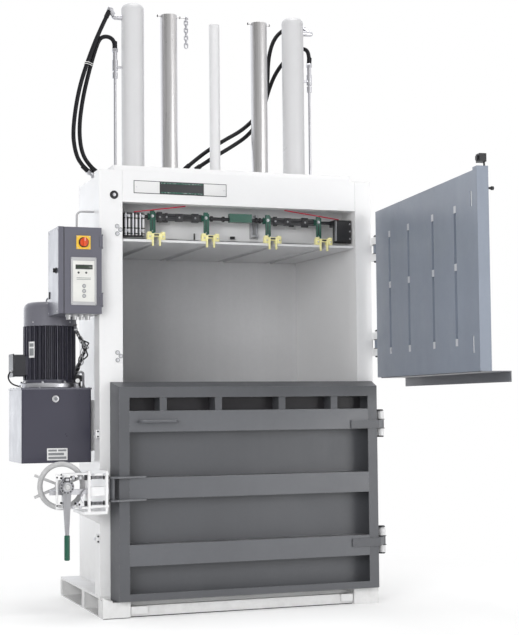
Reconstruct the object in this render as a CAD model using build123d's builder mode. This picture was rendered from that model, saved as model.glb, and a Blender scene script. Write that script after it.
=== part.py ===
from build123d import *
from math import acos, asin, atan2, cos, degrees, hypot, pi, radians, sin, tan
import os

os.makedirs("parts", exist_ok=True)

# A vertical recycling baler, in millimetres.
# +Z is up, the doors face -Y, and the origin is on the floor under the middle of the base.

# Frame
frame_width = 1400
left_pillar_width = 112
right_pillar_width = 83
right_pillar_inset = 10
pillar_depth = 100
pillar_wall = 6
base_depth = 900
base_height = 97
base_right_inset = 20
base_plate = 12
pillar_setback = 55
frame_height = 2080
header_height = 150
header_sheet = 8
header_return = 60
side_wall = 12
wall_outset = 5
back_wall_sheet = 6
back_rib_depth = 10
crown_plate = 20
crown_rise = 40
crown_beam = 16
crown_beam_height = 140
crown_beam_gap = 200
rear_plate_setback = 183
rear_plate_sheet = 4
chain_offset = 92
chain_hole = 18

# Chamber and strap channels
chamber_depth = 823
floor_thickness = 25
floor_skin = 4
strap_channel = 26
strap_outer = 430
strap_inner = 160

# Press
press_stroke = 800
platen_drop = 185
platen_sheet = 12
platen_side_gap = 10
platen_end_gap = 12
platen_beam_height = 43
platen_beam_depth = 40
platen_beam_spread = 150
channel_cover = 18
channel_wall = 4
press_axis_depth = 411
cylinder_offset = 434
cylinder_radius = 57
cylinder_bore = 48
cylinder_rise = 875
cylinder_gland = 30
cylinder_below_crown = 60
cylinder_flange_radius = 82
cylinder_flange = 20
rod_radius = 30
piston_height = 40
running_gap = 0.08
guide_offset = 244
guide_radius = 43
guide_wall = 6
guide_rise = 836
guide_pin_radius = 4
guide_pin_length = 116
guide_pin_drop = 5
guide_flange = 12
sensor_radius = 27
sensor_wall = 3
sensor_rise = 807
sensor_rod_radius = 9

# Doors
hinge_x = 711
hinge_setout = 31
hinge_pin_radius = 11
hinge_eye_radius = 20
hinge_strap = 39
door_gap = 3
upper_open_angle = 83.2
upper_bottom = 1099
upper_top_gap = 13
upper_length = 1383
upper_depth = 50
upper_sheet = 4
upper_stile = 45
stile_extra = 12
upper_hinge_low = 1266
upper_hinge_drop = 179
apron_start = 100
apron_depth = 84
apron_lip = 45
slot_bottom = 1208
slot_drop = 119
slot_middle = 1539
lower_bottom = 80
lower_top = 1083
lower_depth = 97
lower_left = 651
lower_right = 682
rim_bevel = 18
rim_face = 49
rim_sheet = 6
lower_sheet = 6
rail_height = 97
rail_low = 287
rail_mid = 593
rail_high = 899
post_width = 34
lower_hinge_low = 301
lower_hinge_high = 872
lug_height = 117

# Door lock
lock_x = -892
lock_z = 613
bolt_height = 24
bolt_depth = 24
bolt_travel = 50
bolt_tip = -690
bolt_setout = 121
rack_module = 2.5
pinion_teeth = 12
wheel_radius = 110
wheel_rim = 12
spoke_reach = 22
wheel_setout = 57
shaft_radius = 10
lever_length = 190
grip_length = 112

# Power unit
tank_width = 330
tank_depth = 340
tank_height = 342
tank_bottom = 709
tank_gap = 6
tank_setback = 136
tank_sheet = 4
motor_radius = 104
motor_fin = 21
motor_height = 271
cowl_radius = 123
cowl_shoulder = 32
cowl_height = 115
motor_flange_radius = 148
motor_flange_thickness = 24

# Control cabinet
cabinet_width = 204
cabinet_depth = 226
cabinet_bottom = 1396
cabinet_height = 400
cabinet_setout = 60
cabinet_sheet = 3
cabinet_frame = 26
cabinet_door_depth = 16
barrel_radius = 3
barrel_pin = 1.5
barrel_length = 50
barrel_lug = 8

# Places that follow from the sizes
half_width = frame_width / 2
base_right = half_width - base_right_inset
front_y = -base_depth / 2 + pillar_setback
base_front = -base_depth / 2
base_back = base_depth / 2
press_axis_y = front_y + press_axis_depth
rear_plate_y = front_y + rear_plate_setback
hinge_y = front_y - hinge_setout
bolt_y = front_y - bolt_setout
wheel_y = front_y - wheel_setout
tank_front = front_y + tank_setback
cabinet_front = front_y - cabinet_setout
open_left = -half_width + left_pillar_width
right_edge = half_width - right_pillar_inset
open_right = right_edge - right_pillar_width
chamber_x = (open_left + open_right) / 2
wall_left = open_left - wall_outset
wall_right = open_right + wall_outset
pillar_back = front_y + pillar_depth
chamber_back = front_y + chamber_depth
opening_top = frame_height - header_height
crown_z = frame_height + crown_rise
platen_z = opening_top - platen_drop
cylinder_top = crown_z + cylinder_rise
guide_top = crown_z + guide_rise
sensor_top = crown_z + sensor_rise
upper_top = opening_top - upper_top_gap
upper_hinge_high = upper_top - upper_hinge_drop
slot_top = upper_top - slot_drop
strap_places = [chamber_x + side * reach for side, reach in
                ((-1, strap_outer), (-1, strap_inner), (1, strap_inner), (1, strap_outer))]
guide_places = [chamber_x - guide_offset, chamber_x + guide_offset]
cylinder_places = [chamber_x - cylinder_offset, chamber_x + cylinder_offset]


def bar(x0, x1, y0, y1, z0, z1, mode=Mode.ADD):
    """A straight block between two corners, in the part that is being built."""
    with Locations(((x0 + x1) / 2, (y0 + y1) / 2, (z0 + z1) / 2)):
        Box(abs(x1 - x0), abs(y1 - y0), abs(z1 - z0), mode=mode)


def post(x, y, z0, z1, radius, mode=Mode.ADD):
    """A round bar that stands upright."""
    with Locations((x, y, (z0 + z1) / 2)):
        Cylinder(radius, abs(z1 - z0), mode=mode)


def bar_x(x0, x1, y, z, radius, mode=Mode.ADD):
    """A round bar that lies across the machine."""
    with Locations(((x0 + x1) / 2, y, z)):
        Cylinder(radius, abs(x1 - x0), rotation=(0, 90, 0), mode=mode)


def bar_y(x, y0, y1, z, radius, mode=Mode.ADD):
    """A round bar that lies front to back."""
    with Locations((x, (y0 + y1) / 2, z)):
        Cylinder(radius, abs(y1 - y0), rotation=(90, 0, 0), mode=mode)


def bow(corners, radius, bend):
    """A round rod bent at its corners, in the part that is being built."""
    with BuildLine() as line:
        FilletPolyline(*corners, radius=bend)
    with BuildSketch(Plane(origin=corners[0], z_dir=corners[1] - corners[0])) as section:
        Circle(radius)
    sweep(sections=section.sketch, path=line.wires()[0])


# The base: a top plate and a bottom sheet joined by three box beams, with two fork tunnels between them
web_places = [(base_front + 20, front_y + 25), (-82, -31), (base_back - 40, base_back)]
beam_sheet = 6
corner_plate = 8
corner_width = 130
front_sill = 50
foot_depth = 12
sill_top = lower_bottom - 6

with BuildPart() as base_frame:
    bar(-half_width, base_right, front_y, base_back, base_height - base_plate, base_height)
    bar(-half_width, base_right, base_front + 20, base_back, 0, beam_sheet)
    for y0, y1 in web_places:
        bar(-half_width, base_right, y0, y1, 0, base_height - base_plate)
    for y0, y1 in web_places:
        bar(-half_width + beam_sheet, base_right - beam_sheet, y0 + beam_sheet, y1 - beam_sheet,
            beam_sheet, front_sill - beam_sheet, mode=Mode.SUBTRACT)
    bar(-half_width - 1, base_right + 1, base_front - 1, front_y, sill_top, base_height, mode=Mode.SUBTRACT)
    bar(-half_width + corner_width, base_right - corner_width, base_front - 1, front_y, front_sill, base_height,
        mode=Mode.SUBTRACT)
    for x0, x1 in ((-half_width + corner_width + 4, -485), (485, base_right - corner_width - 4)):
        bar(x0, x1, base_front + 20 - foot_depth, base_front + 20, 14, front_sill)
    bar(base_right - corner_width, base_right, base_front, base_front + 20, 0, sill_top)
    with BuildSketch(Plane.XZ.offset(-(base_front + 20))) as left_corner:
        with BuildLine():
            Polyline((-half_width, 0), (-half_width + corner_width, 0), (-half_width + corner_width, sill_top),
                     (-lower_left - 3, sill_top), (-half_width, base_height), close=True)
        make_face()
    extrude(to_extrude=left_corner.sketch, amount=20)
    bar(-half_width, -lower_left - 3, base_front, front_y, sill_top - 1, sill_top + 8)

# The chamber floor: strips between four strap channels, on a thin skin
with BuildPart() as chamber_floor:
    bar(open_left, open_right, front_y, chamber_back, base_height, base_height + floor_thickness)
    for x in strap_places:
        bar(x - strap_channel / 2, x + strap_channel / 2, front_y - 1, chamber_back + 1,
            base_height + floor_skin, base_height + floor_thickness + 1, mode=Mode.SUBTRACT)


# The pillars: square tubes that stand on the base, welded to the header between them
def pillar(x0, x1):
    """A square tube with one wall thickness all round."""
    bar(x0, x1, front_y, pillar_back, base_height, frame_height)
    bar(x0 + pillar_wall, x1 - pillar_wall, front_y + pillar_wall, pillar_back - pillar_wall,
        base_height, frame_height - pillar_wall, mode=Mode.SUBTRACT)


with BuildPart() as left_pillar:
    pillar(-half_width, open_left)

with BuildPart() as right_pillar:
    pillar(open_right, right_edge)

# Chamber walls, behind the pillars
tank_right = -half_width - tank_gap
with BuildPart() as left_wall:
    bar(wall_left - side_wall, wall_left, pillar_back, chamber_back, base_height, crown_z - crown_plate)
    for y0 in (tank_front + 39, tank_front + 259):
        bar(tank_right, wall_left - side_wall, y0, y0 + 40, tank_bottom + 51, tank_bottom + 291)

with BuildPart() as right_wall:
    bar(wall_right, wall_right + side_wall, pillar_back, chamber_back, base_height, crown_z - crown_plate)

with BuildPart() as back_wall:
    bar(wall_left - side_wall, wall_right + side_wall, chamber_back, chamber_back + back_wall_sheet,
        base_height, crown_z - crown_plate)
    for x in strap_places:
        bar(x - 35, x + 35, chamber_back + back_wall_sheet, chamber_back + back_wall_sheet + back_rib_depth,
            base_height, crown_z - crown_plate)

# The header: front plate with a return under it, and the crown plate that carries the cylinders
beam_places = [press_axis_y - crown_beam_gap / 2, press_axis_y + crown_beam_gap / 2]
with BuildPart() as header:
    bar(open_left, open_right, front_y, front_y + header_sheet, opening_top, frame_height)
    bar(open_left, open_right, front_y, front_y + header_return, opening_top, opening_top + header_sheet)
    bar(open_left, open_right, front_y, pillar_back, frame_height - header_sheet, frame_height)
    bar(wall_left, wall_right, pillar_back, pillar_back + header_sheet,
        frame_height - header_sheet, crown_z - crown_plate)
    bar(wall_left - side_wall, wall_right + side_wall, pillar_back, chamber_back + back_wall_sheet,
        crown_z - crown_plate, crown_z)
    for y in beam_places:
        bar(wall_left, wall_right, y - crown_beam / 2, y + crown_beam / 2,
            crown_z - crown_plate - crown_beam_height, crown_z - crown_plate)
    bar(wall_left, wall_right, rear_plate_y - rear_plate_sheet, rear_plate_y, platen_z + 36, crown_z - crown_plate)
    bar(112, 148, rear_plate_y - 8, rear_plate_y - rear_plate_sheet, platen_z + 40, opening_top + 40)
    post(guide_places[0] + chain_offset, press_axis_y, crown_z - crown_plate, crown_z, chain_hole,
         mode=Mode.SUBTRACT)
    for x in cylinder_places:
        post(x, press_axis_y, crown_z - crown_plate, crown_z, cylinder_radius + running_gap, mode=Mode.SUBTRACT)
    for x in guide_places:
        post(x, press_axis_y, crown_z, crown_z + guide_flange, guide_radius + 20)
        post(x, press_axis_y, crown_z - crown_plate, crown_z + guide_flange,
             guide_radius + running_gap, mode=Mode.SUBTRACT)
    post(chamber_x, press_axis_y, crown_z - crown_plate, crown_z, sensor_radius - sensor_wall, mode=Mode.SUBTRACT)

# Cylinders: closed tube with a rounded end cap, a flange on the crown and a gland for the rod
cylinder_low = crown_z - cylinder_below_crown
with BuildPart() as cylinders:
    for x in cylinder_places:
        post(x, press_axis_y, cylinder_low, cylinder_top, cylinder_radius)
        post(x, press_axis_y, crown_z, crown_z + cylinder_flange, cylinder_flange_radius)
    fillet(cylinders.edges().filter_by(GeomType.CIRCLE).group_by(Axis.Z)[-1], radius=26)
    for x in cylinder_places:
        post(x, press_axis_y, cylinder_low + cylinder_gland, cylinder_top - 35, cylinder_bore, mode=Mode.SUBTRACT)
        post(x, press_axis_y, cylinder_low - 1, cylinder_low + cylinder_gland + 1, rod_radius + running_gap,
             mode=Mode.SUBTRACT)

# The press plate: sheet with four strap channels, stiffened by two beams and two cross plates
platen_left = wall_left + platen_side_gap
platen_right = wall_right - platen_side_gap
platen_front = front_y + platen_end_gap
platen_back = chamber_back - platen_end_gap
platen_top = platen_z + platen_sheet + platen_beam_height
with BuildPart() as press_plate:
    bar(platen_left, platen_right, platen_front, platen_back, platen_z, platen_z + platen_sheet)
    for x in strap_places:
        bar(x - strap_channel / 2 - channel_wall, x + strap_channel / 2 + channel_wall,
            platen_front + 20, platen_back, platen_z, platen_z + platen_sheet + channel_cover)
    for y in (press_axis_y - platen_beam_spread / 2, press_axis_y + platen_beam_spread / 2):
        bar(platen_left + 20, platen_right - 20, y - platen_beam_depth / 2, y + platen_beam_depth / 2,
            platen_z + platen_sheet, platen_top)
    for x in cylinder_places + guide_places + [chamber_x]:
        bar(x - 60, x + 60, press_axis_y - platen_beam_spread / 2, press_axis_y + platen_beam_spread / 2,
            platen_top - 15, platen_top)
    for x in strap_places:
        bar(x - strap_channel / 2, x + strap_channel / 2, platen_front - 1, platen_back + 1,
            platen_z - 1, platen_z + platen_sheet + channel_cover - channel_wall, mode=Mode.SUBTRACT)

# Piston rods: foot flange, rod and piston in one
piston_top = cylinder_top - 50
with BuildPart() as piston_rods:
    for x in cylinder_places:
        post(x, press_axis_y, platen_top, platen_top + 15, rod_radius + 18)
        post(x, press_axis_y, platen_top, piston_top, rod_radius)
        post(x, press_axis_y, piston_top - piston_height, piston_top, cylinder_bore - running_gap)

# Guide tubes, each with a cross pin that stops it on the crown
pin_z = guide_top - guide_pin_drop
chain_x = guide_places[0] + chain_offset
chain_pin_radius = 3.5
with BuildPart() as guide_tubes:
    for x in guide_places:
        post(x, press_axis_y, platen_top, guide_top, guide_radius)
        post(x, press_axis_y, platen_top, platen_top + 12, guide_radius + 15)
        post(x, press_axis_y, platen_top + 20, guide_top + 1, guide_radius - guide_wall, mode=Mode.SUBTRACT)
        bar_x(x - guide_pin_length / 2, x + guide_pin_length / 2, press_axis_y, pin_z, guide_pin_radius)
    bar_x(guide_places[0], chain_x + 8, press_axis_y, pin_z, chain_pin_radius)
    bar_x(chain_x + 8, chain_x + 11, press_axis_y, pin_z, chain_pin_radius + 5)

# The tube for the stroke sensor, and its rod on the press plate
with BuildPart() as sensor_tube:
    post(chamber_x, press_axis_y, crown_z, sensor_top, sensor_radius)
    post(chamber_x, press_axis_y, crown_z, crown_z + 10, sensor_radius + 18)
    post(chamber_x, press_axis_y, crown_z, sensor_top - 5, sensor_radius - sensor_wall, mode=Mode.SUBTRACT)

with BuildPart() as sensor_rod:
    post(chamber_x, press_axis_y, platen_top, platen_top + 10, sensor_rod_radius + 12)
    post(chamber_x, press_axis_y, platen_top, sensor_top - 60, sensor_rod_radius)

# The lifting chain on the left guide tube's pin: oval links, each turned a quarter against the last
link_wire = 3.5
link_hole = 5
link_run = 10
link_gap = 0.4
link_count = 8
link_bend = link_hole + link_wire
link_step = link_run + 2 * link_hole - link_gap
first_link_z = pin_z + chain_pin_radius + link_wire + link_gap - link_bend - link_run / 2

with BuildPart() as lifting_chain:
    for number in range(link_count):
        across = Vector(0, 1, 0) if number % 2 == 0 else Vector(1, 0, 0)
        link_z = first_link_z - number * link_step
        link_plane = Plane(origin=(chain_x, press_axis_y, link_z), x_dir=across, z_dir=across.cross(Vector(0, 0, 1)))
        with BuildLine(link_plane) as oval:
            Line((-link_bend, -link_run / 2), (-link_bend, link_run / 2))
            RadiusArc((-link_bend, link_run / 2), (link_bend, link_run / 2), link_bend)
            Line((link_bend, link_run / 2), (link_bend, -link_run / 2))
            RadiusArc((link_bend, -link_run / 2), (-link_bend, -link_run / 2), link_bend)
        oval_wire = oval.wires()[0]
        with BuildSketch(Plane(origin=oval_wire @ 0, z_dir=oval_wire % 0)) as wire_section:
            Circle(link_wire)
        sweep(sections=wire_section.sketch, path=oval_wire)

# Doors turn about one upright line on the right pillar
inner_face = front_y - door_gap - hinge_y
outer_face = inner_face - upper_depth
upper_plane = Plane(origin=(hinge_x, hinge_y, 0)).rotated((0, 0, upper_open_angle))
hinge_edge = -62
free_edge = -upper_length
stile_in = free_edge + upper_stile
cover_depth = 20
apron_z = upper_bottom - upper_sheet

# The upper door, drawn open: a folded pan with a stile, four hollow ribs, strap slots and two hinge straps
rib_height = 40
handle_low = 1400
handle_high = 1560
rib_places = [upper_hinge_low, handle_low, handle_high, upper_hinge_high]
with BuildPart(upper_plane) as upper_door:
    bar(free_edge, hinge_edge, inner_face - upper_sheet, inner_face, upper_bottom, upper_top)
    bar(free_edge, hinge_edge, outer_face, inner_face, upper_bottom, upper_bottom + upper_sheet)
    bar(free_edge, hinge_edge, outer_face, inner_face, upper_top - upper_sheet, upper_top)
    bar(hinge_edge - upper_sheet, hinge_edge, outer_face, inner_face, upper_bottom, upper_top)
    bar(free_edge, stile_in, outer_face, inner_face, upper_bottom, upper_top + stile_extra)
    bar(free_edge + upper_sheet, stile_in - upper_sheet, outer_face + upper_sheet, inner_face - upper_sheet,
        upper_bottom - 1, upper_top + stile_extra - upper_sheet, mode=Mode.SUBTRACT)
    for z in rib_places:
        bar(stile_in - upper_sheet, hinge_edge, outer_face, inner_face - upper_sheet, z - rib_height / 2,
            z + rib_height / 2)
        bar(stile_in, hinge_edge - upper_sheet, outer_face + upper_sheet, inner_face - upper_sheet,
            z - rib_height / 2 + upper_sheet, z + rib_height / 2 - upper_sheet, mode=Mode.SUBTRACT)
    for x in strap_places:
        local = x - hinge_x
        bar(local - strap_channel / 2 - upper_sheet, local + strap_channel / 2 + upper_sheet,
            inner_face - cover_depth, inner_face - upper_sheet, slot_bottom - upper_sheet, slot_top + upper_sheet)
        bar(local - strap_channel / 2, local + strap_channel / 2,
            inner_face - cover_depth + upper_sheet, inner_face + 1, slot_bottom, slot_top, mode=Mode.SUBTRACT)
    for z0, z1 in ((slot_bottom - 34, slot_bottom + 36), (slot_top - 26, slot_top + 38)):
        bar(free_edge + 62, free_edge + 76, inner_face - upper_sheet - 1, inner_face + 1, z0, z1,
            mode=Mode.SUBTRACT)
    for z in (upper_hinge_low, upper_hinge_high):
        z0 = z - hinge_strap / 2
        z1 = z + hinge_strap / 2
        post(0, 0, z0, z1, hinge_eye_radius)
        bar(-200, 0, outer_face - 8, outer_face, z0, z1)
        bar(hinge_edge, 0, outer_face - 8, -12, z0, z1)
        post(0, 0, z0 - 1, z1 + 1, hinge_pin_radius + running_gap, mode=Mode.SUBTRACT)

# Strap clips: small bright plates across each slot, at its ends and middle
clip_height = 30
with BuildPart(upper_plane) as door_strap_clips:
    for x in strap_places:
        local = x - hinge_x
        for z in (slot_bottom + clip_height / 2, slot_middle, slot_top - clip_height / 2):
            bar(local - strap_channel / 2, local + strap_channel / 2, inner_face - 3, inner_face,
                z - clip_height / 2, z + clip_height / 2)

# The apron: an angle under the upper door that covers the gap to the lower door
with BuildPart(upper_plane) as door_apron:
    bar(free_edge, -apron_start, outer_face - apron_depth, inner_face - 6, apron_z, upper_bottom)
    bar(free_edge, -apron_start, outer_face - apron_depth, outer_face - apron_depth + upper_sheet,
        upper_bottom - apron_lip, upper_bottom)

# The switch actuator on the upper door's stile: a thin pin with a block that meets the door switch
stile_top = upper_top + stile_extra
with BuildPart(upper_plane) as door_actuator:
    post(free_edge + 8, outer_face + 14, stile_top, stile_top + 20, 4)
    bar(free_edge - 6, free_edge + 34, outer_face + 9, outer_face + 39, stile_top + 16, stile_top + 50)
    bar(free_edge + 4, free_edge + 24, outer_face + 39, outer_face + 46, stile_top + 24, stile_top + 42)
    bar_y(free_edge + 8, outer_face - 14, outer_face, stile_top - 90, 5)
    bar_y(free_edge + 8, outer_face - 24, outer_face - 14, stile_top - 90, 8)

# The bow handle on the outer face
handle_x = -1150
handle_reach = 45
handle_radius = 7
handle_bend = 16
upper_bow = [(handle_x, outer_face, handle_low), (handle_x, outer_face - handle_reach, handle_low),
             (handle_x, outer_face - handle_reach, handle_high), (handle_x, outer_face, handle_high)]
with BuildPart() as upper_handle:
    bow([upper_plane.from_local_coords(Vector(*corner)) for corner in upper_bow], handle_radius, handle_bend)

# Lugs on the right pillar: a side plate, an ear above and below each door strap, and the pin through them
lug_gap = 1
with BuildPart() as hinge_lugs:
    for z in (lower_hinge_low, lower_hinge_high, upper_hinge_low, upper_hinge_high):
        bar(right_edge, right_edge + 8, front_y + 10, front_y + 65, z - lug_height / 2, z + lug_height / 2)
        for side in (-1, 1):
            near = z + side * (hinge_strap / 2 + lug_gap)
            far = z + side * lug_height / 2
            bar(right_edge, hinge_x + 11, hinge_y, front_y + 10, min(near, far), max(near, far))
            post(hinge_x, hinge_y, min(near, far), max(near, far), hinge_eye_radius)
        post(hinge_x, hinge_y, z - lug_height / 2, z + lug_height / 2, hinge_pin_radius)
        post(hinge_x, hinge_y, z + lug_height / 2, z + lug_height / 2 + 5, hinge_pin_radius + 3)

# The lower door: a deep pan with a bevelled rim, a front flange and two hinge straps
lower_rear = front_y - door_gap
lower_front = lower_rear - lower_depth
face_left = -lower_left + rim_bevel
face_right = lower_right - rim_bevel
face_top = lower_top - rim_bevel - 7
face_bottom = lower_bottom


def door_slab(inset, y_front, y_rear):
    """The pan's outline between two planes, drawn in by inset on every side."""
    with BuildSketch(Plane.XZ.offset(-y_rear)) as rear_outline:
        with BuildLine():
            Polyline((-lower_left + inset, lower_bottom + inset), (lower_right - inset, lower_bottom + inset),
                     (lower_right - inset, lower_top - inset), (-lower_left + inset, lower_top - inset), close=True)
        make_face()
    with BuildSketch(Plane.XZ.offset(-y_front)) as front_outline:
        with BuildLine():
            Polyline((face_left + inset, face_bottom + inset), (face_right - inset, face_bottom + inset),
                     (face_right - inset, face_top - inset), (face_left + inset, face_top - inset), close=True)
        make_face()
    return rear_outline.sketch, front_outline.sketch


outer_rear, outer_front = door_slab(0, lower_front, lower_rear)
inner_rear, inner_front = door_slab(rim_sheet, lower_front + rim_sheet, lower_rear - lower_sheet)
flange_in = rim_face
with BuildPart() as lower_door:
    loft(sections=[outer_rear, outer_front])
    loft(sections=[inner_rear, inner_front], mode=Mode.SUBTRACT)
    bar(face_left + flange_in, face_right - flange_in, lower_front - 1, lower_front + rim_sheet + 1,
        face_bottom + 33, face_top - flange_in, mode=Mode.SUBTRACT)
    for x in strap_places:
        bar(x - post_width / 2, x + post_width / 2, lower_front + rim_sheet, lower_rear - lower_sheet,
            rail_high + rail_height / 2, face_top - flange_in + 30)
    for z in (lower_hinge_low, lower_hinge_high):
        z0 = z - hinge_strap / 2
        z1 = z + hinge_strap / 2
        bar(face_right - 141, face_right + 8, lower_front - 8, lower_front, z0, z1)
        with BuildSketch(Plane.XY.offset(z0)) as strap_arm:
            with BuildLine():
                Polyline((face_right - 4, lower_front - 8), (face_right + 8, lower_front - 8),
                         (hinge_x + 18, hinge_y - 6), (hinge_x - 16, hinge_y + 4),
                         (face_right - 4, lower_front + 16), close=True)
            make_face()
        extrude(to_extrude=strap_arm.sketch, amount=hinge_strap)
        post(hinge_x, hinge_y, z0, z1, hinge_eye_radius)
        post(hinge_x, hinge_y, z0 - 1, z1 + 1, hinge_pin_radius + running_gap, mode=Mode.SUBTRACT)

# Three folded rails across the lower door
rail_sheet = 5
with BuildPart() as lower_rails:
    for z in (rail_low, rail_mid, rail_high):
        bar(face_left + flange_in, face_right - flange_in, lower_front, lower_rear - lower_sheet,
            z - rail_height / 2, z + rail_height / 2)
        bar(face_left + flange_in - 1, face_right - flange_in + 1, lower_front + rail_sheet, lower_rear,
            z - rail_height / 2 + rail_sheet, z + rail_height / 2 - rail_sheet, mode=Mode.SUBTRACT)

# The grab handle on the top rail
grab_left = -537
grab_right = -364
grab_y = lower_front - 40
grab_bow = [(grab_left, lower_front, rail_high), (grab_left, grab_y, rail_high), (grab_right, grab_y, rail_high),
            (grab_right, lower_front, rail_high)]
with BuildPart() as grab_handle:
    bow([Vector(*corner) for corner in grab_bow], handle_radius, handle_bend)

# The keeper: two tapered plates that clasp the middle rail, with a round pin between them
keeper_plate = 8
keeper_left = -680
keeper_front = bolt_y - bolt_depth / 2 - 4
pin_y = bolt_y + bolt_depth / 2 + 2 + 12
with BuildPart() as lock_keeper:
    for z0 in (rail_mid + rail_height / 2, rail_mid - rail_height / 2 - keeper_plate):
        with BuildSketch(Plane.XY.offset(z0)) as keeper_outline:
            with BuildLine():
                Polyline((keeper_left, keeper_front), (keeper_left + 28, keeper_front),
                         (-507, lower_front - 7), (-507, lower_front), (face_left, lower_front),
                         (face_left - 8, lower_front + 26), (keeper_left, lower_front + 26), close=True)
            make_face()
        extrude(to_extrude=keeper_outline.sketch, amount=keeper_plate)
    post(keeper_left + 16, pin_y, rail_mid - rail_height / 2, rail_mid + rail_height / 2, 12)

# The door lock: a rack bolt moved by a pinion on the handwheel's shaft
pitch_radius = rack_module * pinion_teeth / 2
pitch_z = lock_z - pitch_radius
tooth_up = 2.2
rack_up = 1.6
tooth_down = 3.1
backlash = 0.15
base_circle = pitch_radius * cos(radians(20))
bolt_low = pitch_z + rack_up - bolt_height
bolt_high = pitch_z + rack_up
bolt_left = lock_x - bolt_travel - 16
pitch = pi * rack_module


def involute_angle(radius):
    """The angle that the tooth's flank has turned through at a radius."""
    pressure = acos(base_circle / radius)
    return tan(pressure) - pressure


half_tooth = pi / (2 * pinion_teeth) - backlash / pitch_radius + involute_angle(pitch_radius)
outer_circle = pitch_radius + tooth_up
root_circle = pitch_radius - tooth_down
flank_radii = [base_circle + 0.001 + (outer_circle - base_circle) * step / 3 for step in range(4)]


def pinion_outline():
    """Points round the pinion, tooth by tooth; one tooth points straight down."""
    points = []
    for tooth in range(pinion_teeth):
        middle = -pi / 2 + 2 * pi * tooth / pinion_teeth
        points.append((root_circle, middle - half_tooth))
        for radius in flank_radii:
            points.append((radius, middle - half_tooth + involute_angle(radius)))
        for radius in reversed(flank_radii):
            points.append((radius, middle + half_tooth - involute_angle(radius)))
        points.append((root_circle, middle + half_tooth))
    return [(radius * cos(angle), radius * sin(angle)) for radius, angle in points]


with BuildPart() as lock_bolt:
    bar(bolt_left, bolt_tip, bolt_y - bolt_depth / 2, bolt_y + bolt_depth / 2, bolt_low, bolt_high)
    gap_top = pitch / 4 + backlash + rack_up * tan(radians(20))
    gap_root = pitch / 4 + backlash - tooth_down * tan(radians(20))
    tooth_count = int((bolt_travel + 24) / pitch) + 1
    for number in range(tooth_count + 2):
        x = lock_x + (2 - number) * pitch
        with BuildSketch(Plane.XZ.offset(-(bolt_y + bolt_depth / 2 + 1))) as rack_gap:
            with BuildLine():
                Polyline((x - gap_top, bolt_high + 0.01), (x + gap_top, bolt_high + 0.01),
                         (x + gap_root, pitch_z - tooth_down), (x - gap_root, pitch_z - tooth_down), close=True)
            make_face()
        extrude(to_extrude=rack_gap.sketch, amount=bolt_depth + 2, mode=Mode.SUBTRACT)

# The handwheel with its shaft, pinion and two long spokes
spoke_lean = 22
spoke_side = 12
with BuildPart() as handwheel:
    for angle in (spoke_lean, -spoke_lean, 180 - spoke_lean, 180 + spoke_lean):
        reach = wheel_radius + spoke_reach if abs(angle) > 90 else wheel_radius - wheel_rim - 3
        with Locations((lock_x + cos(radians(angle)) * reach / 2, wheel_y, lock_z + sin(radians(angle)) * reach / 2)):
            Box(reach, spoke_side, spoke_side, rotation=(0, -angle, 0))
    bar_y(lock_x, wheel_y - 18, wheel_y + 18, lock_z, 26)
    with Locations((lock_x, wheel_y, lock_z)):
        Torus(wheel_radius - wheel_rim, wheel_rim, rotation=(90, 0, 0))
    bar_y(lock_x, bolt_y - 62, wheel_y, lock_z, shaft_radius)
    bar_y(lock_x, bolt_y - 70, bolt_y - 62, lock_z, shaft_radius + 6)
    with BuildSketch(Plane(origin=(lock_x, bolt_y + bolt_depth / 2, lock_z), x_dir=(1, 0, 0),
                           z_dir=(0, -1, 0))) as pinion_section:
        with BuildLine():
            Polyline(*pinion_outline(), close=True)
        make_face()
    extrude(to_extrude=pinion_section.sketch, amount=bolt_depth)

# The lock's frame: shelf on the pillar, end plate, middle plate, guide and an open strap round the shaft
cheek_front = bolt_y - 27
cheek_rear = bolt_y + 27
mid_plate = -790
end_plate = -709
frame_low = lock_z - 101
frame_high = lock_z + 59
shelf_z = frame_low - 15
bolt_play = 0.3
with BuildPart() as lock_frame:
    bar(mid_plate - 20, -half_width, cheek_front - 2, front_y + 65, shelf_z - 12, shelf_z)
    bar(mid_plate, mid_plate + 12, cheek_front - 2, cheek_rear, shelf_z, frame_high + 8)
    bar(end_plate, end_plate + 12, cheek_front - 2, front_y, shelf_z, frame_high + 8)
    for y0 in (cheek_front, cheek_rear - 8):
        bar(lock_x - 8, lock_x + 8, y0, y0 + 8, frame_low, frame_high)
        bar_y(lock_x, y0, y0 + 8, lock_z, shaft_radius + 9)
    for z0 in (frame_low, frame_high - 8):
        bar(lock_x - 8, mid_plate, cheek_front, cheek_rear, z0, z0 + 8)
    bar(mid_plate + 12, end_plate, bolt_y - 20, bolt_y + 20, bolt_low - 8, bolt_high + 8)
    bar(mid_plate - 1, end_plate + 13, bolt_y - bolt_depth / 2 - bolt_play, bolt_y + bolt_depth / 2 + bolt_play,
        bolt_low - bolt_play, bolt_high + bolt_play, mode=Mode.SUBTRACT)
    bar_y(lock_x, cheek_front - 1, cheek_rear + 1, lock_z, shaft_radius + running_gap, mode=Mode.SUBTRACT)
    with BuildSketch(Plane.XZ.offset(-front_y)) as shelf_gusset:
        with BuildLine():
            Polyline((mid_plate - 18, shelf_z - 12), (-half_width, shelf_z - 12), (-half_width, shelf_z - 68),
                     close=True)
        make_face()
    extrude(to_extrude=shelf_gusset.sketch, amount=-8)

# Dark studs that tie the middle and end plates
stud_radius = 7
with BuildPart() as lock_studs:
    for z in (frame_high - 22, frame_low + 22):
        bar_x(mid_plate + 12, end_plate, bolt_y, z, stud_radius)
        bar_x(mid_plate - 10, mid_plate, bolt_y, z, stud_radius + 5)
        bar_x(end_plate + 12, end_plate + 20, bolt_y, z, stud_radius + 5)

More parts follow.
